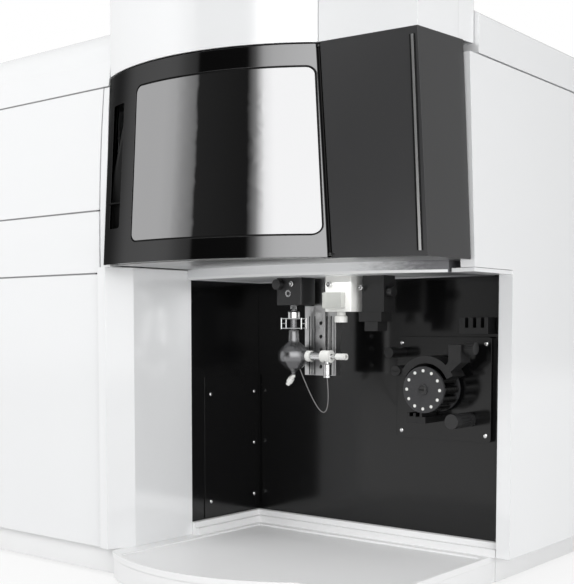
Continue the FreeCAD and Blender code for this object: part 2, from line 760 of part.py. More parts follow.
# Plinth: a pan turned over, L-shaped in plan around the tray
plinth_right = tray_right_x
plinth_front = front_y + plinth_inset
plinth_bay_x = tray_left_x - fit_gap
plinth_bay_y = bay_back_y


def plinth_points(k):
    left, back = -half_w + plinth_inset + k, back_y - plinth_inset - k
    return [(left, plinth_front + k), (plinth_bay_x - k, plinth_front + k),
            (plinth_bay_x - k, plinth_bay_y + k),
            (plinth_right - k, plinth_bay_y + k), (plinth_right - k, back), (left, back)]


plinth = prism(plinth_points(0), plinth_bottom_z, panel_bottom_z)
plinth = plinth.cut(prism(plinth_points(plinth_wall), plinth_bottom_z - 1, panel_bottom_z - plinth_wall))
save("plinth", plinth)

# Feet: turned rubber pads on levelling stems
foot_in = 52.0
plinth_feet = [(-half_w + foot_in, front_y + foot_in), (plinth_bay_x - foot_in, front_y + foot_in),
               (-half_w + foot_in, back_y - foot_in), (plinth_right - foot_in, back_y - foot_in),
               (0, back_y - foot_in)]
feet = []
for x, y in plinth_feet:
    feet.append(turned([(foot_r - 3, 0), (foot_r, 3), (foot_r, foot_h - 2), (foot_r - 4, foot_h),
                        (foot_stem_r, foot_h),
                        (foot_stem_r, panel_bottom_z - plinth_wall)], (x, y, 0), (0, 0, 1)))
tray_foot = (tray_right_x - foot_in, tray_corner_y + foot_in)
feet.append(turned([(foot_r - 3, 0), (foot_r, 3), (foot_r, foot_h - 2), (foot_r - 4, foot_h),
                    (foot_stem_r, foot_h),
                    (foot_stem_r, panel_bottom_z - tray_lip - skirt_t)], (tray_foot[0], tray_foot[1],
                                                                          0), (0, 0, 1)))
save("feet", feet)

# Frame of square bars behind the panels
bar = frame_bar
in_x = half_w - panel_depth
frame_top = cap_seam_z + seam_gap / 2
rear_in = back_y - sheet
frame_bars = []
post_y = front_at(cap_seam_z) + panel_depth + fit_gap
for z in (seam_low_z, seam_mid_z, cap_seam_z):
    top = min(z + bar / 2, frame_top)
    y0 = front_at(top) + panel_depth + fit_gap
    right = column_line(z) - bar
    frame_bars.append(box(-in_x, y0, z - bar / 2, right, post_y + bar, top))
for x in (-in_x, column_line(cap_seam_z) - 2 * bar):
    frame_bars.append(box(x, post_y, panel_bottom_z, x + bar, post_y + bar, frame_top))
for x in (-in_x, in_x - bar):
    y0 = post_y if x < 0 else bay_back_y + wall_sheet
    frame_bars.append(box(x, y0, frame_top - bar, x + bar, rear_in, frame_top))
    frame_bars.append(box(x, rear_in - bar, panel_bottom_z, x + bar, rear_in, frame_top))
bay_post_y = bay_back_y + wall_sheet
frame_bars.append(box(in_x - bar, bay_post_y, panel_bottom_z, in_x, bay_post_y + bar, frame_top))
frame_bars.append(box(-wall_sheet - bar, bay_post_y, panel_bottom_z, -wall_sheet, bay_post_y + bar,
                      frame_top))
frame_bars.append(box(-in_x, bay_post_y, frame_top - bar, in_x, bay_post_y + bar, frame_top))
frame_bars.append(box(-in_x, rear_in - bar, frame_top - bar, in_x, rear_in, frame_top))
frame_bars.append(box(column_line(cap_seam_z) - 2 * bar, post_y, frame_top - bar,
                      column_line(cap_seam_z) - bar,
                      bay_post_y + bar, frame_top))
save("body_frame", fuse(frame_bars))

# Roof: a crowned lid with a flange that lies on the frame
cap_z0 = cap_seam_z + seam_gap / 2
cap_x = hood_top_left_x - cap_gap
tower_clear_y = tower_back_y + cap_gap


def crown_points(k):
    # Front view of the roof, drawn inwards by k
    side, shoulder = half_w - k, half_w - cap_shoulder
    low, mid = side_top_z - k, side_top_z + (roof_z - side_top_z) * 0.62 - k
    return side, shoulder, low, mid, roof_z - k


def crown_prism(z0, k, y0, y1):
    side, shoulder, low, mid, high = crown_points(k)
    turn_x = half_w - cap_shoulder * 0.42
    left = Part.Arc(vec(-side, y0, low), vec(-turn_x, y0, mid), vec(-shoulder, y0, high)).toShape()
    right = Part.Arc(vec(shoulder, y0, high), vec(turn_x, y0, mid), vec(side, y0, low)).toShape()
    edges = [Part.makeLine(vec(-side, y0, z0), vec(-side, y0, low)), left,
             Part.makeLine(vec(-shoulder, y0, high), vec(shoulder, y0, high)), right,
             Part.makeLine(vec(side, y0, low), vec(side, y0, z0)),
             Part.makeLine(vec(side, y0, z0), vec(-side, y0, z0))]
    return Part.Face(Part.Wire(edges)).extrude(vec(0, y1 - y0, 0))


def cap_profile(z0, k):
    # Side view of the roof: leaning front, rounded into the flat top
    x = -half_w - 1
    turn_z = roof_z - cap_front_r
    f0, f1 = front_at(z0) + k, front_at(turn_z) + k
    high = roof_z - k
    bend = cap_front_r * 0.29
    arc = Part.Arc(vec(x, f1, turn_z), vec(x, f1 + bend, high - bend + k),
                   vec(x, f1 + cap_front_r, high)).toShape()
    back = back_y - k
    edges = [Part.makeLine(vec(x, f0, z0), vec(x, f1, turn_z)), arc,
             Part.makeLine(vec(x, f1 + cap_front_r, high), vec(x, back, high)),
             Part.makeLine(vec(x, back, high), vec(x, back, z0)),
             Part.makeLine(vec(x, back, z0), vec(x, f0, z0))]
    return Part.Face(Part.Wire(edges)).extrude(vec(body_w + 2, 0, 0))


cap_outer = crown_prism(cap_z0, 0, front_y - 20, back_y).common(cap_profile(cap_z0, 0))
cap_inner = crown_prism(cap_z0 + cap_t, cap_t, front_y - 20,
                        back_y).common(cap_profile(cap_z0 + cap_t, cap_t))
cap_mouth = box(-half_w + cap_flange, front_at(cap_z0) + cap_flange, cap_z0 - 1, half_w - cap_flange,
                back_y - cap_flange, cap_z0 + cap_t + 1)
tower_zone = box(cap_x, -500, cap_z0 - 1, half_w + 1, tower_clear_y, overall_top_z)
cap_core = cap_inner.cut(box(cap_x - cap_t, -500, cap_z0, half_w + 1, tower_clear_y + cap_t, overall_top_z))
save("top_cap", cap_outer.cut(cap_core).cut(cap_mouth).cut(tower_zone))

# Tower above the hood, in two covers that meet above the hood's seam
tower_plan = (hood_top_arc_c, hood_top_arc_r, hood_top_left_x, hood_top_seam_x, hood_top_corner, hood_rear)
tower = bulged_prism(tower_plan, hood_top_z, tower_top_z, 0, tower_back_y)
tower = tower.cut(bulged_prism(tower_plan, hood_top_z - 1, tower_top_z - cap_t, cap_t, tower_back_y - cap_t))
tower = tower.cut(rod_z(exhaust_x, exhaust_y, hood_top_z, overall_top_z, duct_r + fit_gap))
tower_flank = bulged_prism(tower_plan, hood_top_z - 1, tower_top_z + 1, tower_step, tower_back_y + 1)
step_room = box(hood_top_seam_x, tower_step_y, hood_top_z - 1, half_w, tower_back_y + 1, tower_top_z + 1)
tower = tower.cut(step_room.cut(tower_flank))
front_half = box(-100, -500, hood_top_z, hood_top_seam_x - tower_seam / 2, 0, tower_top_z)
side_half = box(hood_top_seam_x + tower_seam / 2, -500, hood_top_z, 520, 0, tower_top_z)
save("tower_front", tower.common(front_half))
save("tower_side", tower.common(side_half))

# Torch box inside the hood, open towards the door, and the exhaust above it
box_in = torch_box_t
torch_box = box(torch_x - torch_box_half, torch_box_front_y, hood_bottom_z + floor_lift + hood_floor_t,
                torch_x + torch_box_half, hood_back_y, torch_box_top_z)
torch_box = torch_box.cut(box(torch_x - torch_box_half + box_in, torch_box_front_y - 1,
                              hood_bottom_z + floor_lift + hood_floor_t + box_in,
                              torch_x + torch_box_half - box_in,
                              hood_back_y - box_in, torch_box_top_z - box_in))
torch_box = torch_box.cut(throat).cut(rod_z(exhaust_x, exhaust_y, 600, 800, duct_r - duct_t))
plate_z0 = hood_bottom_z + floor_lift + hood_floor_t
face_plate = box(hood_top_left_x, torch_box_front_y, plate_z0, half_w, torch_box_front_y + box_in,
                 hood_top_z - 5)
face_plate = face_plate.common(hood_solid(door_return + 2 * door_gap, hood_rear_y))
face_plate = face_plate.cut(box(torch_x - torch_box_half + box_in, torch_box_front_y - 1, plate_z0 + box_in,
                                torch_x + torch_box_half - box_in, torch_box_front_y + box_in + 1,
                                torch_box_top_z - box_in))
save("torch_box", fuse([torch_box, face_plate]))
duct = rod_z(exhaust_x, exhaust_y, torch_box_top_z, overall_top_z, duct_r)
duct = duct.cut(rod_z(exhaust_x, exhaust_y, torch_box_top_z - 1, overall_top_z + 1, duct_r - duct_t))
collar = rod_z(exhaust_x, exhaust_y, tower_top_z, tower_top_z + collar_h, collar_r).cut(
    rod_z(exhaust_x, exhaust_y, tower_top_z - 1, tower_top_z + collar_h + 1, duct_r - 0.5))
save("exhaust_duct", fuse([duct, collar]))

# Quartz torch: three tubes one inside the other, blown together at the foot
def tube_z(x, y, z0, z1, r_out, r_in):
    return rod_z(x, y, z0, z1, r_out).cut(rod_z(x, y, z0 - 1, z1 + 1, r_in))


torch_foot_z = 497.0
torch_parts = [tube_z(torch_x, stand_y, torch_foot_z, torch_top_z, torch_r, torch_r - 1),
               tube_z(torch_x, stand_y, torch_foot_z, torch_top_z - 25, torch_r - 2.6, torch_r - 3.5),
               tube_z(torch_x, stand_y, torch_foot_z, torch_top_z - 40, 2.4, 1.0),
               rod_z(torch_x, stand_y, torch_foot_z - 4, torch_foot_z + 3, torch_r),
               rod_z(torch_x, stand_y, neck_top_z, torch_foot_z - 4, stem_r)]
save("torch", fuse(torch_parts))

# Load coil: a copper tube of two and a half turns with legs to the rear wall of the box
turns = 2.5
helix = Part.makeHelix(coil_pitch, coil_pitch * turns, coil_r)
helix.rotate(vec(0, 0, 0), vec(0, 0, 1), 180)
ring = Part.Wire(Part.makeCircle(coil_tube_r, vec(-coil_r, 0, 0), vec(0, -1, 0)))
coil = Part.Wire(helix).makePipeShell([ring], True, True)
coil.translate(vec(torch_x, stand_y, coil_z))
leg_y1 = hood_back_y - box_in
legs = [rod_y(torch_x - coil_r, coil_z, stand_y, leg_y1, coil_tube_r),
        rod_y(torch_x + coil_r, coil_z + coil_pitch * turns, stand_y, leg_y1, coil_tube_r)]
save("load_coil", [coil.Solids[0] if coil.Solids else coil] + legs)

# Rear panel with louvres, the fan's grille and the openings for the services
rear = box(-half_w, back_y - sheet, panel_bottom_z, half_w, back_y, cap_seam_z - seam_gap / 2)
for column_at in (-0.30, 0.30):
    for row in range(louvre_rows):
        z = louvre_z0 + row * louvre_pitch
        x = column_at * body_w
        rear = rear.cut(box(x - louvre_w / 2, back_y - sheet - 1, z, x + louvre_w / 2, back_y + 1,
                            z + louvre_h))
grille = rod_y(fan_x, fan_z, back_y - sheet - 1, back_y + 1, fan_r + 4)
for r in (fan_r - 2, fan_r - 18, fan_r - 34, fan_r - 50):
    band = rod_y(fan_x, fan_z, back_y - sheet - 1, back_y + 1,
                 r).cut(rod_y(fan_x, fan_z, back_y - sheet - 2, back_y + 2, r - 2.5))
    grille = grille.cut(band)
for k in range(2):
    spoke = box(fan_x - fan_r - 5, back_y - sheet - 2, fan_z - 2, fan_x + fan_r + 5, back_y + 2, fan_z + 2)
    spoke.rotate(vec(fan_x, 0, fan_z), vec(0, 1, 0), 45 + 90 * k)
    grille = grille.cut(spoke)
rear = rear.cut(grille)
rear = rear.cut(box(inlet_x - 24, back_y - 5, inlet_z - 17, inlet_x + 24, back_y + 1, inlet_z + 17))
rear = rear.cut(box(inlet_x + 32, back_y - 5, inlet_z - 14, inlet_x + 52, back_y + 1, inlet_z + 14))
for x in port_x:
    rear = rear.cut(rod_y(x, port_z, back_y - 5, back_y + 1, port_neck_r + fit_gap))
save("rear_panel", rear)

# Services at the back: mains inlet, switch frame and gas and water stubs
inlet = box(inlet_x - 24, back_y - 30, inlet_z - 17, inlet_x + 24, back_y, inlet_z + 17)
inlet = inlet.cut(box(inlet_x - 20, back_y - 22, inlet_z - 13, inlet_x + 20, back_y + 1, inlet_z + 13))
blades = [box(inlet_x + dx - 1, back_y - 24, inlet_z + dz - 3, inlet_x + dx + 1, back_y - 6, inlet_z + dz + 3)
          for dx, dz in ((-8, -2), (0, 4), (8, -2))]
switch_frame = box(inlet_x + 32, back_y - 24, inlet_z - 14, inlet_x + 52, back_y, inlet_z + 14)
switch_frame = switch_frame.cut(box(inlet_x + 34, back_y - 20, inlet_z - 12, inlet_x + 50, back_y + 1,
                                    inlet_z + 12))
switch_frame = switch_frame.cut(rod_x(back_y - rocker_pivot, inlet_z, inlet_x + 32.8, inlet_x + 51.2,
                                      1.5 + shaft_clear))
stub_profile = [(port_r - 3, 0), (port_r - 3, 12), (port_r, 12), (port_r, port_in - sheet),
                (port_neck_r, port_in - sheet), (port_neck_r, port_in - 0.2)]
stubs = [turned(stub_profile, (x, back_y - port_in, port_z), (0, 1, 0)).cut(
    rod_y(x, port_z, back_y - 0.2 - port_bore_len, back_y + 1, port_bore_r)) for x in port_x]
services = [fuse([inlet] + blades), switch_frame] + stubs
rocker = prism_x([(back_y - 2, inlet_z - rocker_half), (back_y - 0.2, inlet_z - rocker_half),
                  (back_y - 3.2, inlet_z),
                  (back_y - 0.2, inlet_z + rocker_half), (back_y - 2, inlet_z + rocker_half),
                  (back_y - 13, inlet_z + 4), (back_y - 13, inlet_z - 4)], inlet_x + 34.4, inlet_x + 49.6)
rocker = rocker.fuse(rod_x(back_y - rocker_pivot, inlet_z, inlet_x + 33, inlet_x + 51, 1.5))
rocker.rotate(vec(inlet_x, back_y - rocker_pivot, inlet_z), vec(1, 0, 0), -rocker_tilt)
save("power_rocker", rocker)

# Rear fan: hub with swept blades, carried by its motor bracket
fan_y0 = back_y - 34
blades = []
for k in range(7):
    one = box(-1.2, 1, fan_hub_r - 2, 1.2, fan_depth - 1, fan_r - 4)
    one.rotate(vec(0, fan_depth / 2, 0), vec(0, 0, 1), 32)
    one.rotate(vec(0, 0, 0), vec(0, 1, 0), k * 360 / 7)
    blades.append(one)
fan = fuse([rod_y(0, 0, 0, fan_depth, fan_hub_r)] + blades).cut(rod_y(0, 0, -1, fan_depth - 4,
                                                                      fan_shaft_r + 0.05))
fan.translate(vec(fan_x, fan_y0, fan_z))
save("rear_fan", fan)
ring_out = box(fan_x - fan_r - 6, fan_y0 - 4, fan_z - fan_r - 6, fan_x + fan_r + 6, back_y - sheet,
               fan_z + fan_r + 6)
ring_out = ring_out.cut(rod_y(fan_x, fan_z, fan_y0 - 5, back_y, fan_r))
arm = box(fan_x - fan_r - 2, fan_y0 - 4, fan_z - 5, fan_x + fan_r + 2, fan_y0 - 1, fan_z + 5)
fan_frame = fuse([ring_out, arm, rod_y(fan_x, fan_z, fan_y0 - 4, fan_y0 + fan_depth - 6, fan_shaft_r)])
save("rear_services", services + [fan_frame])

# Inside the body: the optics, the generator and the supply stand on the plinth
optics_x0, optics_x1, optics_y0, optics_y1 = 65.0 - half_w, -80.0, -240.0, 210.0
optics_z0, optics_z1, lid_t, lid_edge, leg_r, leg_in = 150.0, 470.0, 12.0, 8.0, 14.0, 32.0
optics = box(optics_x0, optics_y0, optics_z0, optics_x1, optics_y1, optics_z1)
optics_lid = box(optics_x0 - lid_edge, optics_y0 - lid_edge, optics_z1, optics_x1 + lid_edge,
                 optics_y1 + lid_edge,
                 optics_z1 + lid_t)
legs = [rod_z(x, y, panel_bottom_z, optics_z0, leg_r) for x in (optics_x0 + leg_in, optics_x1 - leg_in)
        for y in (optics_y0 + leg_in, optics_y1 - leg_in)]
save("optics_module", fuse([optics, optics_lid] + legs))
supply_x0, supply_x1, supply_y0, supply_y1, supply_top_z = -20.0, half_w - 165.0, 60.0, 360.0, 330.0
fin_t, fin_pitch, fin_h, fin_count = 4.0, 22.0, 26.0, 15
generator = box(supply_x0, supply_y0, panel_bottom_z, supply_x1, supply_y1, supply_top_z)
fins = [box(supply_x0 + 10 + fin_pitch * k, supply_y0 + 40, supply_top_z,
            supply_x0 + 10 + fin_t + fin_pitch * k,
            supply_y1 - 40, supply_top_z + fin_h) for k in range(fin_count)]
save("rf_generator", fuse([generator] + fins))

# Pump on the back wall: plate, motor behind the wall, and the roller head in front
plate = box(pump_x - plate_half_w, bay_back_y - plate_t, pump_z - plate_half_h, pump_x + plate_half_w,
            bay_back_y,
            pump_z + plate_half_h)
plate = plate.makeFillet(plate_corner_r,
                         [e for e in plate.Edges if abs(e.tangentAt(e.FirstParameter).y) > 0.9])
plate_y = bay_back_y - plate_t
plate_screws = [(pump_x + sx * screw_off_x, pump_z + sz * screw_off_z) for sx in (-1, 1) for sz in (-1, 1)]
for x, z in plate_screws:
    plate = plate.cut(rod_y(x, z, plate_y - 1, bay_back_y + 1, screw_r))
plate = plate.cut(rod_y(pump_x, pump_z, plate_y - 1, bay_back_y + 1, shaft_r + shaft_clear))
plate = plate.cut(rod_y(knob_x, knob_z, plate_y - 1, bay_back_y + 1, knob_shaft_r + shaft_clear))
save("pump_plate", plate)
motor = rod_y(pump_x, pump_z, bay_back_y, bay_back_y + motor_len, motor_r)
motor = motor.cut(rod_y(pump_x, pump_z, bay_back_y - 1, bay_back_y + motor_len / 2 + 1,
                        shaft_r + shaft_clear))
save("pump_motor", motor)

# Rotor: two discs on a hub, with the roller pins between them
front_disc = rod_y(pump_x, pump_z, rotor_front_y, rotor_front_y + disc_t, rotor_r)
rear_disc = rod_y(pump_x, pump_z, rotor_back_y - disc_t, rotor_back_y, rotor_r)
hub = rod_y(pump_x, pump_z, rotor_front_y, rotor_back_y, hub_r)
shaft = rod_y(pump_x, pump_z, rotor_back_y, bay_back_y + motor_len / 2, shaft_r)
cap_screw = rod_y(pump_x, pump_z, rotor_front_y - 2.5, rotor_front_y, cap_screw_r)
slot = box(pump_x - cap_screw_r - 1, rotor_front_y - 3, pump_z - 0.8, pump_x + cap_screw_r + 1,
           rotor_front_y - 1.2, pump_z + 0.8)
rotor = fuse([front_disc, rear_disc, hub, shaft, cap_screw]).cut(slot)
rollers = []
roller_pins = []
for k in range(roller_count):
    turn = math.radians(90 + 360 * k / roller_count)
    x, z = pump_x + roller_circle_r * math.cos(turn), pump_z + roller_circle_r * math.sin(turn)
    rotor = rotor.cut(rod_y(x, z, rotor_front_y - 1, rotor_back_y + 1, roller_pin_r + pin_seat))
    roller = rod_y(x, z, rotor_front_y + disc_t + end_play, rotor_back_y - disc_t - end_play, roller_r)
    rollers.append(roller.cut(rod_y(x, z, rotor_front_y, rotor_back_y, roller_pin_r + roller_clear)))
    roller_pins.append(rod_y(x, z, rotor_front_y - 0.4, rotor_back_y - 0.5, roller_pin_r))
save("pump_rotor", rotor)
save("pump_rollers", rollers)
save("roller_pins", roller_pins)

# Shoe over the rollers, hinged on a slotted pin, with the tension block at its free end
def on_circle(r, degrees):
    return (pump_x + r * math.cos(math.radians(degrees)), pump_z + r * math.sin(math.radians(degrees)))


shoe_ring = rod_y(pump_x, pump_z, shoe_y0, shoe_y1, shoe_outer_r).cut(rod_y(pump_x, pump_z, shoe_y0 - 1,
                                                                            shoe_y1 + 1, shoe_inner_r))
wedge = prism_y([(pump_x, pump_z)] + [on_circle(2 * shoe_outer_r, a)
                                      for a in (shoe_from, 60, 90, 120, shoe_to)], shoe_y0 - 2, shoe_y1 + 2)
shoe_arc = shoe_ring.common(wedge)
eye = rod_y(shoe_pin_x, shoe_pin_z, shoe_y0, shoe_y1, eye_r)
link = prism_y([(shoe_pin_x - 1, shoe_pin_z - eye_r), on_circle(shoe_inner_r + 1, shoe_to - 3),
                on_circle(shoe_outer_r, shoe_to - 9),
                (shoe_pin_x + 2, shoe_pin_z + eye_r - 0.3)], shoe_y0, shoe_y1)
block_x0, block_x1, block_z0, block_z1 = pump_x + 41, pump_x + 61, pump_z + 41, pump_z + 67
block = box(block_x0, shoe_y0 - 5, block_z0, block_x1, shoe_y1 - 12, block_z1)
neck = prism_y([on_circle(shoe_inner_r + 2, 46), on_circle(shoe_inner_r + 2, 32),
                (block_x1 - 2, block_z0 + 1),
                (block_x0 + 2, block_z0 + 8)], shoe_y0, shoe_y1 - 12)
wheel_y = (shoe_y0 + shoe_y1 - 17) / 2
wheel_z = block_z0 + 21
shoe = fuse([shoe_arc, eye, link, block, neck])
shoe = shoe.cut(rod_y(shoe_pin_x, shoe_pin_z, shoe_y0 - 1, shoe_y1 + 1, shoe_pin_r + shaft_clear))
shoe = shoe.cut(rod_x(wheel_y, wheel_z, block_x1 - 14, block_x1 + 1, wheel_shaft_r + shaft_clear))
save("pump_shoe", shoe)
wheel = fuse([rod_x(wheel_y, wheel_z, block_x1 + 1, block_x1 + 17, wheel_r),
              rod_x(wheel_y, wheel_z, block_x1 - 13, block_x1 + 2, wheel_shaft_r)])
for k in range(wheel_flutes):
    turn = 2 * math.pi * k / wheel_flutes
    wheel = wheel.cut(rod_x(wheel_y + wheel_r * math.cos(turn), wheel_z + wheel_r * math.sin(turn),
                            block_x1, block_x1 + 18, 1.1))
save("shoe_wheel", wheel)

# Posts on the plate: the shoe's slotted pin, a peg and the tube holder
shoe_pin = fuse([rod_y(shoe_pin_x, shoe_pin_z, shoe_y0 - 4, shoe_y0 - fit_gap, eye_r),
                 rod_y(shoe_pin_x, shoe_pin_z, shoe_y0 - 1, plate_y, shoe_pin_r)])
shoe_pin = shoe_pin.cut(box(shoe_pin_x - eye_r, shoe_y0 - 5, shoe_pin_z - 0.8, shoe_pin_x + eye_r,
                            shoe_y0 - 2.6, shoe_pin_z + 0.8))
peg = rod_y(pump_x - 71.5, pump_z + 53.5, plate_y - 40, plate_y, 8)
holder = box(pump_x - 35, plate_y - 44, pump_z - 51, pump_x - 3, plate_y, pump_z - 41.5)
teeth = [box(pump_x - 35 + 11 * k, plate_y - 44, pump_z - 42, pump_x - 31 + 11 * k, plate_y - 2,
             pump_z - 36) for k in range(3)]
save("pump_posts", [shoe_pin, peg, fuse([holder] + teeth)])

# Lower clamp knob, and the fork for the tubes above the plate
flutes = [rod_y(knob_x + knob_r * math.cos(2 * math.pi * k / 16),
                knob_z + knob_r * math.sin(2 * math.pi * k / 16),
                plate_y - 41, plate_y - 9, 1.2) for k in range(16)]
knob = fuse([rod_y(knob_x, knob_z, plate_y - 54, plate_y - fit_gap, knob_r),
             rod_y(knob_x, knob_z, plate_y - 1, bay_back_y - 1, knob_shaft_r)])
for flute in flutes:
    knob = knob.cut(flute)
save("pump_knob", knob)
fork = box(fork_x0, bay_back_y - 26, fork_z0, fork_x1, bay_back_y, fork_z1)
for k in range(3):
    x = fork_x0 + 9 + 13 * k
    fork = fork.cut(box(x, bay_back_y - 27, fork_z0 + 9, x + 6, bay_back_y - 4, fork_z1 + 1))
save("tube_fork", fork)

# Small screws of the wall cover and of the pump plate
head = [(screw_r, -screw_in), (screw_r, 0), (screw_head_r, 0), (screw_head_r, 0.7),
        (screw_head_r * 0.6, screw_head_h)]
screws = []
for y, z in cover_screws:
    shank = [(screw_r, -cover_t)] + head[1:]
    screws.append(turned(shank, (bay_left_x + cover_t, y, z), (1, 0, 0)))
for x, z in plate_screws:
    screws.append(turned(head, (x, plate_y, z), (0, -1, 0)))
save("small_screws", screws)

# Stand that hangs from the ceiling: torch mount, rail, white block and side block
mount_x0, mount_x1, mount_y0, mount_y1 = torch_x - 20, torch_x + 29, stand_y - 18, stand_y + 18
mount = box(mount_x0, mount_y0, mount_z0, mount_x1, mount_y1, hang_z)
mount = mount.makeFillet(2.0, [e for e in mount.Edges if abs(e.tangentAt(e.FirstParameter).z) > 0.9])
mount = mount.cut(rod_z(torch_x, stand_y, mount_z0 - 1, hang_z + 1, stem_r + pin_clear))
mount = mount.cut(rod_y(mount_knob_x, mount_knob_z, mount_y0 - 1, mount_y0 + 11, knob_shaft_r + shaft_clear))
save("torch_mount", mount)
mount_knob = fuse([rod_y(mount_knob_x, mount_knob_z, mount_y0 - 10, mount_y0 - fit_gap, small_knob_r),
                   rod_y(mount_knob_x, mount_knob_z, mount_y0 - 1, mount_y0 + 10, knob_shaft_r)])
save("mount_knob", mount_knob)
rail_x0, rail_x1, rail_y0, rail_y1 = torch_x, torch_x + 60, stand_y + 26, stand_y + 42
rail_base = box(rail_x0, rail_y0 + 10, rail_z0, rail_x1, rail_y1, rail_z1)
ribs = [box(rail_x0, rail_y0 + 3, rail_z0, rail_x0 + 18, rail_y1, rail_z1),
        box(rail_x0 + 21, rail_y0, rail_z0, rail_x0 + 42, rail_y1, rail_z1),
        box(rail_x0 + 46, rail_y0 + 4, rail_z0, rail_x1, rail_y1, rail_z1)]
post = box(rail_x0 + 21, rail_y0, rail_z1 - 1, rail_x0 + 40, rail_y1, hang_z)
rail = fuse([rail_base] + ribs + [post])
for z in rail_holes:
    rail = rail.cut(rod_y(rail_x0 + 34, z, rail_y0 - 1, rail_y1 + 1, 3))
save("stand_rail", rail)
white_x0, white_x1, white_y0, white_y1 = torch_x + 69, torch_x + 117, stand_y - 10, stand_y + 21
white = box(white_x0, white_y0, white_z0, white_x1, white_y1, hang_z)
white = white.makeFillet(1.5, [e for e in white.Edges if abs(e.tangentAt(e.FirstParameter).z) > 0.9])
lift = turned([(10, 0), (10, 9), (7, 11), (7, 16)], (white_x0 + 20, stand_y + 4, white_z0 - 16), (0, 0, 1))
save("stand_block", [white, lift])
cube = box(white_x0 + 3, white_y0 - 11, white_z0 + 5, white_x0 + 38, white_y0, white_z0 + 29)
save("clear_cube", cube.makeFillet(1.5, [e
                                         for e in cube.Edges if abs(e.tangentAt(e.FirstParameter).y) > 0.9]))
side_x0, side_x1 = torch_x + 131, torch_x + 169
side = fuse([box(side_x0, stand_y, side_z0, side_x1, stand_y + 30, hang_z),
             box(side_x0 - 5, stand_y - 2, side_z0 - 14, side_x1 - 3, stand_y + 26, side_z0),
             box(side_x0 + 7, stand_y - 4, side_z0 - 28, side_x1 - 8, stand_y + 22, side_z0 - 14)])
side = side.cut(rod_x(stand_y + 12, side_knob_z, side_x1 - 12, side_x1 + 1, knob_shaft_r + shaft_clear))
save("side_block", side)
side_knob = fuse([rod_x(stand_y + 12, side_knob_z, side_x1 + fit_gap, side_x1 + 10, small_knob_r),
                  rod_x(stand_y + 12, side_knob_z, side_x1 - 10, side_x1 + 1, knob_shaft_r)])
save("side_knob", side_knob)

# Cyclonic spray chamber under the torch, with its clip and the nebuliser at its side
tip_z = chamber_z - 28
chamber = turned([(3, 0), (4, 5), (14, 11), (chamber_r - 1, 22), (chamber_r, 29), (chamber_r - 1, 37),
                  (17, 45), (9, 52), (8, 69),
                  (stem_r, 71), (stem_r, neck_top_z - tip_z)], (torch_x, stand_y, tip_z), (0, 0, 1))
neb_z = chamber_z + 2
port = rod_x(stand_y, neb_z, torch_x, torch_x + chamber_r + 2, 6)
save("spray_chamber", fuse([chamber, port]))
nut = turned([(10, 0), (10, 9), (8.5, 11)], (torch_x, stand_y, neck_top_z - 14), (0, 0, 1)).cut(
    rod_z(torch_x, stand_y, neck_top_z - 20, neck_top_z + 2, stem_r + pin_clear))
loops = []
for side_sign in (-1, 1):
    y = stand_y + side_sign * (stem_r + clip_wire_r + 0.1)
    top, low = neck_top_z - 14 - clip_wire_r, tip_z + 73
    for z in (top, low):
        loops.append(rod_x(y, z, torch_x - clip_half_w, torch_x + clip_half_w, clip_wire_r))
    for x in (torch_x - clip_half_w, torch_x + clip_half_w):
        loops.append(rod_z(x, y, low - clip_end_r, top + clip_end_r, clip_end_r))
for x in (torch_x - clip_half_w, torch_x + clip_half_w):
    loops.append(rod_y(x, (top + low) / 2, stand_y - stem_r - clip_wire_r, stand_y + stem_r + clip_wire_r,
                       clip_wire_r * 0.8))
save("chamber_clip", [nut, fuse(loops)])
neb_x = torch_x + chamber_r + 2
nebuliser = turned([(4, 0), (4, 10), (7, 10.5), (7, 29), (4, 29.5), (4, 46), (2.6, 47), (2.6, 60)],
                   (neb_x, stand_y, neb_z), (1, 0, 0))
sleeve = turned([(6.5, 0), (6.5, 3), (5.6, 3.5), (5.6, 20), (3.6, 21), (3.6, 31)],
                (neb_x + 39, stand_y, neb_z - 32.5), (0, 0, 1))
save("nebuliser", fuse([nebuliser, sleeve]))


def tube_x(x0, x1, r_out, r_in):
    return rod_x(stand_y, neb_z, x0, x1, r_out).cut(rod_x(stand_y, neb_z, x0 - 1, x1 + 1, r_in))


collars = [tube_x(neb_x + 1, neb_x + 9, 8.5, 4.05), tube_x(neb_x + 57, neb_x + 75, 5, 2.65)]
collars.append(tube_x(neb_x + 30, neb_x + 47, 9.5, 4.05).cut(rod_z(neb_x + 39, stand_y, neb_z - 20, neb_z,
                                                                   5.8)))
save("nebuliser_collars", collars)
drain = rod((torch_x - 1.6, stand_y, tip_z - 2.2), (-0.6, 0, -0.8), 3.4, 17)
drain_nut = rod((torch_x - 4, stand_y, tip_z - 5.4), (-0.6, 0, -0.8), 5, 8)
drain = fuse([drain, drain_nut, rod_z(torch_x, stand_y, tip_z - 4, tip_z, 2.6)])
save("drain_fitting", drain)


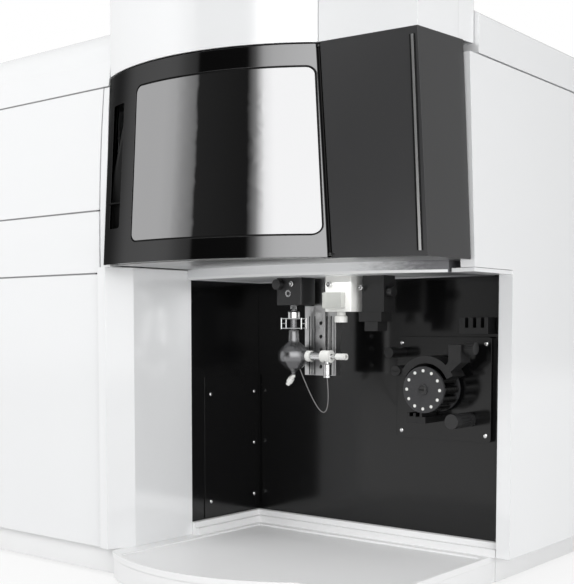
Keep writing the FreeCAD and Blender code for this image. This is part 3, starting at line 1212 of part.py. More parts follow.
# Capillary that hangs in a loop between the nebuliser and the foot of the chamber
def routed_tube(points, r):
    points = [vec(*p) for p in points]
    edges = []
    here = points[0]
    for i in range(1, len(points) - 1):
        back, ahead = points[i - 1] - points[i], points[i + 1] - points[i]
        half = (math.pi - back.getAngle(ahead)) / 2
        reach = 0.45 * min(back.Length, ahead.Length)
        bend_r = reach / math.tan(half)
        a = points[i] + back.normalize() * reach
        b = points[i] + ahead.normalize() * reach
        middle = points[i] + (back + ahead).normalize() * (bend_r / math.cos(half) - bend_r)
        print("  bend radius", round(bend_r, 1))
        edges.append(Part.makeLine(here, a))
        edges.append(Part.Arc(a, middle, b).toShape())
        here = b
    edges.append(Part.makeLine(here, points[-1]))
    path = Part.Wire(edges)
    start_dir = (points[1] - points[0]).normalize()
    ring = Part.Wire(Part.makeCircle(r, points[0], start_dir))
    tube = path.makePipeShell([ring], True, True)
    print("  tube volume", round(tube.Volume, 2), "against", round(math.pi * r * r * path.Length, 2),
          "length", round(path.Length, 1))
    return tube


capillary_route = [(neb_x + 39, stand_y, neb_z - 32.6), (neb_x + 46, stand_y - 1, neb_z - 86),
                   (neb_x + 19, stand_y - 1, neb_z - 86), (torch_x + 13, stand_y, tip_z + 9)]
save("capillary", routed_tube(capillary_route, capillary_r))
print("nodes", len(os.listdir("parts")))
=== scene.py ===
# %% [markdown]
# # An optical emission spectrometer, finished step by step
# The instrument is a white bench cabinet. On its right a dark hood covers the torch, and under the hood
# an open black bay holds the sample glassware and a roller pump. The solid parts come from the frame that
# is loaded here. This script gives them their finishes, adds the small things that a machinist would not
# draw, and lights them.

# %% Load the frame
import math

import bmesh
import bpy
from mathutils import Matrix, Vector
from mathutils.bvhtree import BVHTree


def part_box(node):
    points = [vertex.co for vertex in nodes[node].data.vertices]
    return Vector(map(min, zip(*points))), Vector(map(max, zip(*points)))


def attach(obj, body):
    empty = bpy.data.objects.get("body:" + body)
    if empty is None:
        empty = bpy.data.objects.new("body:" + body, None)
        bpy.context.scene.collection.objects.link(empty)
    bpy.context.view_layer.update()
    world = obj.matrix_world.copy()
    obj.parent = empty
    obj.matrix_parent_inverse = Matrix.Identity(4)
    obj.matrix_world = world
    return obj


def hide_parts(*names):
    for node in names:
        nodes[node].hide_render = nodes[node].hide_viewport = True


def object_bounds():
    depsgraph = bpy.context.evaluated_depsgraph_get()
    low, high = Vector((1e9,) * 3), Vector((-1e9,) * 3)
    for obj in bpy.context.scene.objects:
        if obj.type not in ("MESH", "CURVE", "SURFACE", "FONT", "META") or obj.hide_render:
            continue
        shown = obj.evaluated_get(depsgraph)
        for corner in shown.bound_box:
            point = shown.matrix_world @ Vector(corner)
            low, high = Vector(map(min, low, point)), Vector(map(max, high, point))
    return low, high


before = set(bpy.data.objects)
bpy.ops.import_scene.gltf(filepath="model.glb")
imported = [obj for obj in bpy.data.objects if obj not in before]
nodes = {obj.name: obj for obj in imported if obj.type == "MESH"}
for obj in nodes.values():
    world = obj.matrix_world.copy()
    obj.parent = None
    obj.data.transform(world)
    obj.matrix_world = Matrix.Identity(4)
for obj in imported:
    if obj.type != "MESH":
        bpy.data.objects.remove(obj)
cad_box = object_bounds()
print("frame", len(nodes), "pieces")

# %% [markdown]
# ## Camera
# The photograph looks at the instrument from its right front corner, a little above the bench. The lens
# is short enough for the upright lines to stay upright: the camera is nearly level, and the picture is
# taken from the upper part of what it sees. A vertical shift does that without tipping the camera.

# %% Camera
PICTURE_WIDTH = 574
PICTURE_HEIGHT = 584
FOCAL_PIXELS = 1052.85
HORIZON_ROW = 391.47
HEADING = math.radians(38.99)
PITCH = math.radians(3.52)
camera_data = bpy.data.cameras.new("camera")
camera_data.sensor_fit = "HORIZONTAL"
camera_data.sensor_width = 36.0
camera_data.lens = FOCAL_PIXELS / PICTURE_WIDTH * camera_data.sensor_width
camera_data.shift_y = (HORIZON_ROW - PICTURE_HEIGHT / 2) / PICTURE_WIDTH
camera_data.clip_start = 0.05
camera = bpy.data.objects.new("camera", camera_data)
camera.location = (1.1947, -1.4435, 0.3845)
camera.rotation_euler = (math.pi / 2 - PITCH, 0.0, HEADING)
bpy.context.scene.collection.objects.link(camera)
bpy.context.scene.camera = camera
bpy.context.scene.view_settings.view_transform = "Standard"
print("lens", round(camera_data.lens, 2), "mm, shift", round(camera_data.shift_y, 4))

# %% [markdown]
# ## The capillary
# One thin tube hangs free: it carries the sample to the nebuliser. It falls from the nebuliser's end and
# comes back up to the foot of the spray chamber in one narrow loop, so its route is a smooth curve
# through the air. Its thickness is set by the radius of its points, because the curve's own box is
# measured with them.

# %% Capillary
CAPILLARY_ROUTE = [(0.227, -0.150, 0.3064), (0.234, -0.151, 0.253), (0.207, -0.151, 0.253),
                   (0.174, -0.150, 0.318)]
CAPILLARY_DIAMETER = 0.0016
tube = bpy.data.curves.new("sample_capillary", "CURVE")
tube.dimensions = "3D"
tube.bevel_depth = 1.0
tube.resolution_u = 24
line = tube.splines.new("NURBS")
line.points.add(len(CAPILLARY_ROUTE) - 1)
for point, place in zip(line.points, CAPILLARY_ROUTE):
    point.co = place + (1.0,)
    point.radius = CAPILLARY_DIAMETER / 2
line.order_u = 3
line.use_endpoint_u = True
capillary = bpy.data.objects.new("sample_capillary", tube)
bpy.context.scene.collection.objects.link(capillary)
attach(capillary, "case")
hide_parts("capillary")

# %% [markdown]
# ## Light
# A studio for white goods is mostly white: light comes from all round, so the panels stay pale with soft
# shade in the corners. Gloss needs something to mirror, so for reflections the surroundings are a wide
# white screen on the right, a dimmer one on the left and a dark gap between them. The gap is the dark
# band that crosses the door. A low dark curtain stands in front of the left screen. All are read from the
# direction of the ray, so they stay in their places when the camera moves. A ray that goes straight from
# the camera to the surroundings sees white paper.


# %% Shader sums
class Term:
    """A socket of a node tree. Sums on it add Math nodes, and add() makes any other node."""

    def __init__(self, tree, socket=None):
        self.tree = tree
        self.socket = socket

    def add(self, kind, settings=None, inputs=None, output=0):
        node = self.tree.nodes.new("ShaderNode" + kind)
        for name, value in (settings or {}).items():
            if name == "stops":
                set_stops(node, value)
            else:
                setattr(node, name, value)
        for name, value in (inputs or {}).items():
            if isinstance(value, Term):
                self.tree.links.new(value.socket, node.inputs[name])
            else:
                node.inputs[name].default_value = value
        return Term(self.tree, node.outputs[output])

    def sum(self, operation, first, second):
        return self.add("Math", {"operation": operation}, {0: first, 1: second})

    def __add__(self, other):
        return self.sum("ADD", self, other)

    def __sub__(self, other):
        return self.sum("SUBTRACT", self, other)

    def __mul__(self, other):
        return self.sum("MULTIPLY", self, other)

    def __truediv__(self, other):
        return self.sum("DIVIDE", self, other)

    def smooth(self, low, high):
        """0 below low, 1 above high, with a soft rise between them."""
        return self.add("MapRange", {"interpolation_type": "SMOOTHSTEP"},
                        {"Value": self, "From Min": low, "From Max": high})

    def blend(self, first, second):
        """The colour first where this term is 0 and second where it is 1."""
        return self.add("Mix", {"data_type": "RGBA"}, {0: self, 6: first, 7: second}, 2)


def set_stops(node, stops):
    ramp = node.color_ramp
    for place, level in stops[len(ramp.elements):]:
        ramp.elements.new(place)
    for element, (place, level) in zip(ramp.elements, stops):
        element.position = place
        element.color = (level, level, level, 1.0)


# %% Surroundings
LIGHT_LEVEL = 0.66
SCREENS = [(-180, 0.50), (-105, 0.95), (-75, 1.08), (-45, 1.12), (-38, 1.02), (-32, 0.68), (-27, 0.48),
           (-25.4, 0.42), (-24.6, 0.05), (3.0, 0.03), (7.0, 0.60), (11.5, 2.4), (16.0, 2.75), (62, 2.75),
           (100, 0.80), (180, 0.50)]
CURTAIN_FROM = -46.0
CURTAIN_TO = -33.4
CURTAIN_TOP = 0.13
CURTAIN_LEVEL = 0.02
world = bpy.data.worlds.new("studio")
world.use_nodes = True
bpy.context.scene.world = world
sky = Term(world.node_tree)
is_camera = sky.add("LightPath", output="Is Camera Ray")
is_glossy = sky.add("LightPath", output="Is Glossy Ray")
way = sky.add("TexCoord", output="Generated")
east = sky.add("SeparateXYZ", inputs={0: way}, output="X")
north = sky.add("SeparateXYZ", inputs={0: way}, output="Y")
bearing = sky.sum("ARCTAN2", east, north * -1.0) * (180.0 / math.pi)
stops = [(degrees / 360.0 + 0.5, level) for degrees, level in SCREENS]
screens = sky.add("ValToRGB", {"stops": stops}, {0: bearing / 360.0 + 0.5})
height = sky.add("SeparateXYZ", inputs={0: way}, output="Z")
curtain = bearing.smooth(CURTAIN_FROM - 1.0, CURTAIN_FROM) * bearing.smooth(CURTAIN_TO + 0.6, CURTAIN_TO)
curtain = curtain * height.smooth(CURTAIN_TOP + 0.03, CURTAIN_TOP)
mirrored = curtain.blend(screens, (CURTAIN_LEVEL, CURTAIN_LEVEL, CURTAIN_LEVEL, 1.0))
room = is_glossy.blend((LIGHT_LEVEL, LIGHT_LEVEL, LIGHT_LEVEL, 1.0), mirrored)
seen = is_camera.blend(room, (1.0, 1.0, 1.0, 1.0))
world.node_tree.links.new(seen.socket, world.node_tree.nodes["Background"].inputs["Color"])
print("screens between", SCREENS[0][0], "and", SCREENS[-1][0], "degrees")

# %% [markdown]
# Three lamps add what an even white room lacks. The key stands high on the left and brightens the front.
# The fill is a large low screen on the right, which reaches under the hood to the side of the corner
# column. The third is the bay's own lamp under its ceiling. None of them is seen in the gloss, where only
# the screens are.


# %% Lamps
def add_lamp(name, place, target, size, energy):
    data = bpy.data.lights.new(name, "AREA")
    data.shape = "RECTANGLE"
    data.size, data.size_y = size
    data.energy = energy
    lamp = bpy.data.objects.new(name, data)
    lamp.location = place
    lamp.rotation_euler = (Vector(target) - lamp.location).to_track_quat("-Z", "Y").to_euler()
    lamp.visible_glossy = False
    lamp.visible_camera = False
    bpy.context.scene.collection.objects.link(lamp)
    print("lamp", name, energy, "W")


add_lamp("key", (-0.9, -2.9, 2.1), (0.0, -0.2, 0.35), (2.4, 1.6), 36.5)
add_lamp("fill", (2.5, -1.15, 0.55), (0.1, -0.25, 0.3), (1.6, 0.9), 20.0)
add_lamp("bay_lamp", (0.22, -0.2, 0.452), (0.22, -0.21, 0.0), (0.36, 0.08), 0.2)

# %% [markdown]
# ## Floor
# The bench is white paper. It takes the instrument's soft shadow, and to the camera it is nearly the same
# white as the surroundings, so no horizon shows.

# %% Floor
FLOOR_SIZE = 14.0
PAPER_SHADE = 0.16
paper = bpy.data.materials.new("white_paper")
paper.use_nodes = True
sheet = Term(paper.node_tree)
direct = sheet.add("LightPath", output="Is Camera Ray")
reflected = sheet.add("LightPath", output="Is Glossy Ray")
passed = sheet.add("LightPath", output="Is Transmission Ray")
either = sheet.sum("MAXIMUM", sheet.sum("MAXIMUM", direct, reflected), passed)
glow = sheet.add("Emission", inputs={"Color": (1.0, 1.0, 1.0, 1.0), "Strength": 1.0})
matt = sheet.add("BsdfDiffuse", inputs={"Color": (0.8, 0.8, 0.8, 1.0)})
both = sheet.add("MixShader", inputs={0: either * (1.0 - PAPER_SHADE), 1: matt, 2: glow})
output = [node for node in paper.node_tree.nodes if node.type == "OUTPUT_MATERIAL"][0]
paper.node_tree.links.new(both.socket, output.inputs["Surface"])
floor_mesh = bpy.data.meshes.new("bench")
shape = bmesh.new()
bmesh.ops.create_grid(shape, x_segments=1, y_segments=1, size=FLOOR_SIZE / 2)
shape.to_mesh(floor_mesh)
shape.free()
bench = bpy.data.objects.new("bench", floor_mesh)
bench.data.materials.append(paper)
bench.location = (0.0, 0.0, cad_box[0][2] - 0.0005)
bpy.context.scene.collection.objects.link(bench)
print("bench", FLOOR_SIZE, "m")

# %% [markdown]
# ## Finishes
# Every finish starts from the same shader. What is equal all over a piece is set on the shader itself,
# and what a real surface varies, such as a trace of orange peel in the paint or brush marks on metal, is
# worked out from the place on the object and goes to colour, roughness or bump. On the door and the bay
# ceiling, colour worked out from the place also paints reflection and shadow. Cut edges on real sheet
# metal are never razor sharp, so a Bevel node rounds them for the light without touching the mesh.


# %% Finish helper
EDGE_ROUND = 0.0012


class Finish:
    """One material: fixed values on the shader, and terms for what varies."""

    def __init__(self, name, colour, roughness, **fixed):
        self.material = bpy.data.materials.new(name)
        self.material.use_nodes = True
        self.tree = self.material.node_tree
        self.shader = self.tree.nodes["Principled BSDF"]
        self.term = Term(self.tree)
        self.place = self.term.add("TexCoord", output="Object")
        self.shader.inputs["Base Color"].default_value = tuple(colour) + (1.0,)
        self.shader.inputs["Roughness"].default_value = roughness
        for socket, value in fixed.items():
            self.shader.inputs[socket.replace("_", " ")].default_value = value

    def feed(self, socket, term):
        self.tree.links.new(term.socket, self.shader.inputs[socket])

    def noise(self, scale, detail=2.0, stretch=(1.0, 1.0, 1.0)):
        where = self.term.add("Mapping", inputs={"Vector": self.place, "Scale": stretch})
        return self.term.add("TexNoise", inputs={"Vector": where, "Scale": scale, "Detail": detail})

    def bump(self, heights, distance, edge=EDGE_ROUND):
        inputs = {"Height": heights, "Distance": distance, "Strength": 1.0}
        if edge:
            inputs["Normal"] = self.term.add("Bevel", {"samples": 4}, {"Radius": edge})
        self.feed("Normal", self.term.add("Bump", inputs=inputs))


# %% [markdown]
# ### White panels
# The covers are powder coated steel: a cool white with a shine that is soft at the edges of what it
# mirrors, and a fine orange peel that can be felt more than seen.

# %% Panel paint
WHITE = (0.845, 0.853, 0.862)


def panel_paint():
    finish = Finish("panel_paint", WHITE, 0.12, IOR=2.2)
    mottle = finish.noise(3.0).smooth(0.3, 0.7)
    finish.feed("Base Color", mottle.blend(WHITE + (1.0,), (0.84, 0.848, 0.856, 1.0)))
    finish.feed("Roughness", finish.noise(24.0) * 0.04 + 0.10)
    finish.bump(finish.noise(620.0, 1.0), 0.00001)
    return finish.material


# %% [markdown]
# ### Moulded base
# The tray and the base are moulded in a white plastic that is a little warmer and rougher than the paint.

# %% Tray plastic
TRAY_WHITE = (0.895, 0.898, 0.90)


def tray_plastic():
    finish = Finish("tray_plastic", TRAY_WHITE, 0.45, IOR=1.33)
    cloud = finish.noise(6.0, 2.0).smooth(0.3, 0.7)
    finish.feed("Base Color", cloud.blend(TRAY_WHITE + (1.0,), (0.88, 0.882, 0.885, 1.0)))
    finish.feed("Roughness", finish.noise(40.0, 2.0) * 0.05 + 0.42)
    finish.bump(finish.noise(900.0, 1.0), 0.00001)
    return finish.material


# %% [markdown]
# ### Hood
# The door is gloss black lacquer on metal. Its colour sets how strongly it mirrors, and that colour is
# painted reflection: darkest at the handle edge and rising towards the right, so the reflections come out
# weak on the left and bright on the right. The hinge barrel at the right end is painted almost black, a
# painted shade that keeps it from mirroring a highlight line. The pane in it is smoked and mirror coated,
# so it gives back about three times as much, and lets the torch box behind it show faintly. The fixed
# side of the hood is satin black paint, and the seal is matt rubber.

# %% Door gloss, smoked pane, hood paint and seal
PANE_SHADE = 0.335
DOOR_REFLECTION_PAINT = (0.026, 0.062, 0.158)
SEAM_SLANT = 0.1007
SEAM_PLACE = 0.4048
GRAZING_TINT = (0.45, 0.45, 0.45, 1.0)


def door_gloss():
    finish = Finish("door_gloss", (0.1, 0.1, 0.1), 0.05, Metallic=1.0, Specular_Tint=GRAZING_TINT)
    across = finish.term.add("SeparateXYZ", inputs={0: finish.place}, output="X")
    # Painted reflection: the metal's colour is painted darkest at the handle edge, lighter on the left and
    # lightest to the right.
    edge, left, right = [(shade, shade, shade * 1.01, 1.0) for shade in DOOR_REFLECTION_PAINT]
    handle_reflection_paint = across.smooth(0.005, 0.06).blend(edge, left)
    door_reflection_paint = across.smooth(0.16, 0.34).blend(handle_reflection_paint, right)
    # Painted shade: the strip of the hinge barrel is painted almost black, so it mirrors no highlight line.
    upward = finish.term.add("SeparateXYZ", inputs={0: finish.place}, output="Z")
    barrel_painted_dark = (across + upward * SEAM_SLANT).smooth(SEAM_PLACE, SEAM_PLACE + 0.0006)
    finish.feed("Base Color", barrel_painted_dark.blend(door_reflection_paint, (0.008, 0.008, 0.008, 1.0)))
    finish.feed("Roughness", finish.noise(9.0, 3.0) * 0.02 + 0.05)
    finish.bump(finish.noise(3.0, 0.0), 0.000002)
    return finish.material


def smoked_pane():
    finish = Finish("smoked_pane", (PANE_SHADE, PANE_SHADE, PANE_SHADE * 1.01), 0.03, Metallic=1.0)
    finish.feed("Roughness", finish.noise(7.0, 2.0) * 0.02 + 0.03)
    finish.feed("Alpha", finish.noise(4.0, 0.0) * 0.02 + 0.97)
    return finish.material


def hood_paint():
    finish = Finish("hood_paint", (0.033, 0.033, 0.034), 0.3, IOR=1.5)
    depth = finish.noise(2.2).smooth(0.3, 0.7)
    finish.feed("Base Color", depth.blend((0.032, 0.032, 0.033, 1.0), (0.034, 0.034, 0.035, 1.0)))
    finish.feed("Roughness", finish.noise(60.0) * 0.04 + 0.28)
    finish.bump(finish.noise(1100.0, 1.0), 0.000003)
    return finish.material


def seal_rubber():
    finish = Finish("seal_rubber", (0.003, 0.003, 0.003), 0.6, IOR=1.25)
    finish.feed("Roughness", finish.noise(90.0) * 0.1 + 0.55)
    finish.bump(finish.noise(700.0, 1.0), 0.00002, 0.0004)
    return finish.material


# %% [markdown]
# ### Bay walls
# Inside the bay, splashes of acid have to wipe off, so the walls are black enamel with a clear shine.
# They mirror the room in front of them, dimly.

# %% Bay enamel
def bay_enamel():
    finish = Finish("bay_enamel", (0.0042, 0.0042, 0.0044), 0.06, IOR=1.47)
    finish.feed("Roughness", finish.noise(30.0, 3.0) * 0.04 + 0.13)
    finish.bump(finish.noise(520.0, 1.0), 0.000004)
    return finish.material


# %% [markdown]
# ### Small parts
# Black anodised or moulded parts carry the pump, and bright ones the glassware. Each has its own grain:
# moulded plastic is finely sandblasted, aluminium is drawn along its length, and turned steel shows
# rings.

# %% Plastics, metals and glass
CEILING_BRIGHT = (0.86, 0.87, 0.88, 1.0)
CEILING_PAINTED_SHADOW = (0.16, 0.16, 0.17, 1.0)


def moulded_black(name="moulded_black", shade=0.02, roughness=0.32):
    finish = Finish(name, (shade, shade, shade * 1.03), roughness, IOR=1.5)
    finish.feed("Roughness", finish.noise(160.0, 3.0) * 0.14 + roughness - 0.07)
    finish.bump(finish.noise(1700.0, 2.0), 0.00004, 0.0006)
    return finish.material


def rotor_black():
    finish = Finish("rotor_black", (0.032, 0.032, 0.034), 0.42, IOR=1.5)
    grit = finish.term.add("TexVoronoi", inputs={"Vector": finish.place, "Scale": 900.0}, output="Distance")
    speck = grit.smooth(0.35, 0.2)
    finish.feed("Base Color", speck.blend((0.028, 0.028, 0.030, 1.0), (0.07, 0.07, 0.073, 1.0)))
    finish.feed("Roughness", grit * 0.2 + 0.32)
    finish.bump(grit, 0.00008, 0.0005)
    return finish.material


def drawn_metal(name, shade, roughness, stretch):
    finish = Finish(name, (shade, shade, shade * 1.02), roughness, Metallic=1.0)
    grain = finish.noise(240.0, 3.0, stretch)
    finish.feed("Roughness", grain * 0.16 + roughness - 0.06)
    finish.feed("Base Color", grain.blend((shade * 0.9,) * 3 + (1.0,), (shade * 1.06,) * 3 + (1.0,)))
    finish.bump(grain, 0.00002, 0.0005)
    return finish.material


# Painted shadow: the ceiling plate is bright silver that turns dark grey towards its right end, where
# shadow falls; noise makes the edge of the painted shadow ragged.
def ceiling_silver():
    finish = Finish("ceiling_silver", CEILING_BRIGHT[:3], 0.4, Metallic=0.35)
    across = finish.term.add("SeparateXYZ", inputs={0: finish.place}, output="X")
    shadow_edge_streaks = finish.noise(60.0, 3.0, (0.2, 5.0, 5.0)) * 0.06 + across
    finish.feed("Base Color", shadow_edge_streaks.smooth(0.34, 0.47).blend(CEILING_BRIGHT, CEILING_PAINTED_SHADOW))
    finish.feed("Roughness", finish.noise(70.0) * 0.1 + 0.35)
    finish.bump(finish.noise(300.0, 1.0), 0.000004, 0.0005)
    return finish.material


def lip_white():
    finish = Finish("lip_white", (0.92, 0.925, 0.93), 0.35, IOR=1.6)
    finish.feed("Roughness", finish.noise(80.0) * 0.08 + 0.3)
    return finish.material


def gasket_grey():
    finish = Finish("gasket_grey", (0.30, 0.30, 0.305), 0.6, IOR=1.4)
    finish.feed("Roughness", finish.noise(50.0) * 0.1 + 0.55)
    finish.bump(finish.noise(400.0, 1.0), 0.00001, 0.0)
    return finish.material


def white_plastic():
    finish = Finish("white_plastic", (0.80, 0.80, 0.775), 0.2, IOR=1.5)
    finish.feed("Roughness", finish.noise(120.0) * 0.1 + 0.14)
    finish.bump(finish.noise(700.0, 1.0), 0.00002, 0.0006)
    return finish.material


def dark_glass():
    finish = Finish("dark_glass", (0.20, 0.20, 0.205), 0.08, Metallic=0.85, IOR=1.55)
    finish.feed("Roughness", finish.noise(50.0) * 0.04 + 0.10)
    finish.bump(finish.noise(90.0, 1.0), 0.00001, 0.006)
    return finish.material


def clear_glass(name, tint, solidity):
    finish = Finish(name, tint, 0.05, IOR=1.5)
    finish.feed("Roughness", finish.noise(60.0) * 0.04 + 0.02)
    rim = finish.term.add("LayerWeight", inputs={"Blend": 0.4}, output="Facing")
    finish.feed("Alpha", rim * (1.0 - solidity) + solidity)
    return finish.material


def tube_plastic():
    finish = Finish("tube_plastic", (0.20, 0.20, 0.20), 0.25, IOR=1.45)
    finish.feed("Roughness", finish.noise(60.0) * 0.1 + 0.2)
    return finish.material


def foot_rubber():
    finish = Finish("foot_rubber", (0.018, 0.018, 0.018), 0.7, IOR=1.5)
    finish.feed("Roughness", finish.noise(80.0, 3.0) * 0.2 + 0.6)
    finish.bump(finish.noise(600.0, 3.0), 0.0001, 0.0008)
    return finish.material


# %% [markdown]
# ## Painting the frame
# A table of finishes by piece keeps the choice in one place. Each solid keeps its mesh, and only its
# material slot changes.

# %% Finish of each piece
panel = panel_paint()
gloss = door_gloss()
rubber = seal_rubber()
enamel = bay_enamel()
black = moulded_black()
# Painted shade: the next two are darker copies of the moulded black. They go on pieces in the bay, darkened
# to the shade they stand in, and on the door hinges, so these mirror no bright line.
near_black_painted_shade = moulded_black("near_black_painted_shade", 0.007, 0.4)
mid_black_painted_shade = moulded_black("mid_black_painted_shade", 0.012, 0.35)
satin = drawn_metal("satin_steel", 0.55, 0.32, (1.0, 1.0, 12.0))
rail_metal = drawn_metal("rail_aluminium", 0.62, 0.28, (6.0, 6.0, 0.4))
zinc = drawn_metal("zinc_plate", 0.50, 0.4, (1.0, 1.0, 1.0))
polished = drawn_metal("polished_steel", 0.72, 0.14, (8.0, 1.0, 8.0))
roller_steel = drawn_metal("roller_steel", 0.13, 0.25, (1.0, 12.0, 1.0))
copper = Finish("coil_copper", (0.80, 0.42, 0.26), 0.2, Metallic=1.0)
copper.feed("Roughness", copper.noise(120.0) * 0.15 + 0.14)
ivory = white_plastic()
finishes = {
    panel: "front_panel_lower front_panel_middle front_panel_upper left_side_panel right_side_panel "
           "corner_column top_cap tower_front tower_side rear_panel",
    tray_plastic(): "tray tray_skirt plinth",
    gloss: "door_shell",
    rubber: "door_window_seal door_handle_cup",
    smoked_pane(): "door_window",
    hood_paint(): "hood_facet",
    enamel: "bay_left_wall bay_wall_cover bay_back_wall pump_plate",
    black: "pump_knob rear_services power_rocker rear_fan",
    mid_black_painted_shade: "torch_mount mount_knob pump_shoe shoe_wheel",
    near_black_painted_shade: "tube_fork side_block side_knob pump_posts door_hinges",
    rotor_black(): "pump_rotor",
    satin: "hood_trim exhaust_duct hood_floor",
    ceiling_silver(): "bay_ceiling",
    zinc: "body_frame optics_module rf_generator torch_box pump_motor",
    rail_metal: "stand_rail",
    polished: "small_screws chamber_clip nebuliser",
    roller_steel: "pump_rollers",
    copper.material: "load_coil",
    ivory: "roller_pins stand_block nebuliser_collars drain_fitting",
    dark_glass(): "spray_chamber",
    clear_glass("torch_quartz", (0.85, 0.87, 0.88), 0.12): "torch",
    clear_glass("clear_acrylic", (0.62, 0.63, 0.60), 0.45): "clear_cube",
    foot_rubber(): "feet",
}
painted = set()
for material, names in finishes.items():
    for name in names.split():
        nodes[name].data.materials.clear()
        nodes[name].data.materials.append(material)
        painted.add(name)
tube.materials.append(tube_plastic())
print("painted", len(painted), "of", len(nodes))

# %% [markdown]
# ## Small pieces
# These are things that a fitter adds at the end: thumb screws, a washer and gaskets in the seams. Thin
# dark sheets are painted shade: they stand in for the shade in the grooves beside the bright strip and
# along the rail, and in the slot of the rotor's hub. Each lies on the solid that carries it, and moves
# with it.


# %% Helpers for small pieces
TURNED_SIDES = 32
FRONT = Vector((0, -1, 0))
BACKWARD = Vector((0, 1, 0))


def add_piece(name, shape, material, body):
    mesh = bpy.data.meshes.new(name)
    shape.normal_update()
    shape.to_mesh(mesh)
    shape.free()
    piece = bpy.data.objects.new(name, mesh)
    piece.data.materials.append(material)
    bpy.context.scene.collection.objects.link(piece)
    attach(piece, body)


def add_box(shape, low, high):
    """A box between two corners."""
    size = [b - a for a, b in zip(low, high)]
    middle = [(a + b) / 2 for a, b in zip(low, high)]
    place = Matrix.Translation(middle) @ Matrix.Diagonal(size + [1.0])
    bmesh.ops.create_cube(shape, size=1.0, matrix=place)


def add_turned(shape, profile, place):
    """A turned part that faces the front: profile holds (radius, height) from its foot to its top."""
    turn = Vector((0, 0, 1)).rotation_difference(FRONT).to_matrix().to_4x4()
    where = Matrix.Translation(place) @ turn
    points = [shape.verts.new(where @ Vector((radius, 0, height))) for radius, height in profile]
    edges = [shape.edges.new(pair) for pair in zip(points, points[1:])]
    bmesh.ops.spin(shape, geom=points + edges, cent=where.translation, axis=FRONT, dvec=(0, 0, 0),
                   angle=2 * math.pi, steps=TURNED_SIDES, use_duplicate=False)
    bmesh.ops.remove_doubles(shape, verts=shape.verts, dist=1e-6)


def thicken(shape, faces, depth):
    """Gives faces a depth to the back, and turns all sides outward."""
    made = bmesh.ops.extrude_face_region(shape, geom=faces)
    moved = [item for item in made["geom"] if isinstance(item, bmesh.types.BMVert)]
    bmesh.ops.translate(shape, verts=moved, vec=BACKWARD * depth)
    bmesh.ops.recalc_face_normals(shape, faces=shape.faces)


def tree_of(node):
    return BVHTree.FromObject(nodes[node], bpy.context.evaluated_depsgraph_get())


def seen_from_front(tree, x, y, z):
    """The first point of a solid behind the given place, or None."""
    return tree.ray_cast(Vector((x, y, z)), BACKWARD)[0]


# %% Thumb screws and a washer
SCREW_RADIUS = 0.0042
SCREW_HEIGHT = 0.006
SCREW_CHAMFER = 0.0008
SOCKET_RADIUS = 0.0016
SOCKET_DEPTH = 0.0015
WASHER_HOLE = 0.0030
WASHER_RADIUS = 0.0056
WASHER_HEIGHT = 0.0012
mount_low, mount_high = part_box("torch_mount")
block_low, block_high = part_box("side_block")
stand_low, stand_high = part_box("stand_block")
screw_places = [(mount_low[0] + 0.033, mount_low[1], mount_high[2] - 0.010),
                (block_low[0] + 0.007, block_low[1], block_high[2] - 0.018),
                (stand_low[0] + 0.010, stand_low[1], stand_high[2] - 0.012)]
screw_profile = [(SCREW_RADIUS, 0.0), (SCREW_RADIUS, SCREW_HEIGHT - SCREW_CHAMFER),
                 (SCREW_RADIUS - SCREW_CHAMFER, SCREW_HEIGHT), (SOCKET_RADIUS, SCREW_HEIGHT),
                 (SOCKET_RADIUS, SCREW_HEIGHT - SOCKET_DEPTH), (0.0, SCREW_HEIGHT - SOCKET_DEPTH)]
screws = bmesh.new()
for place in screw_places:
    add_turned(screws, screw_profile, place)
add_piece("thumb_screws", screws, polished, "case")
washer = bmesh.new()
washer_profile = [(WASHER_HOLE, 0.0), (WASHER_HOLE, WASHER_HEIGHT), (WASHER_RADIUS, WASHER_HEIGHT),
                  (WASHER_RADIUS, 0.0)]
add_turned(washer, washer_profile, (mount_low[0] + 0.024, mount_low[1], mount_low[2] + 0.018))
add_piece("mount_washer", washer, polished, "case")
print("thumb screws", len(screw_places))

# %% Gaskets in the seams of the front
GASKET_BACK = 0.0018
GASKET_DEPTH = 0.012
GASKET_SHORT = 0.012
GASKET_GRIP = 0.0001
EDGE_SEARCH = 0.0002
seams = [("front_panel_lower", "front_panel_middle"), ("front_panel_middle", "front_panel_upper"),
         ("front_panel_upper", "top_cap")]
gaskets = bmesh.new()
for below, above in seams:
    (left, y, z), (right, back, seam_low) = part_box(below)
    seam_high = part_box(above)[0][2]
    rim = [vertex.co.y for vertex in nodes[below].data.vertices if vertex.co.z > seam_low - EDGE_SEARCH]
    front = min(rim) + GASKET_BACK
    add_box(gaskets, (left, front, seam_low - GASKET_GRIP),
            (right - GASKET_SHORT, front + GASKET_DEPTH, seam_high + GASKET_GRIP))
add_piece("seam_gaskets", gaskets, gasket_grey(), "case")
print("gaskets", len(seams))

# %% Painted shade of the grooves beside the bright strip
GROOVE_WIDTH = 0.0022
GROOVE_PROUD = 0.0002
GROOVE_DEPTH = 0.0012
LEVEL_SEARCH = 0.0005
END_CORNERS = 4
strip_low, strip_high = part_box("hood_trim")
strip_points = [vertex.co for vertex in nodes["hood_trim"].data.vertices]
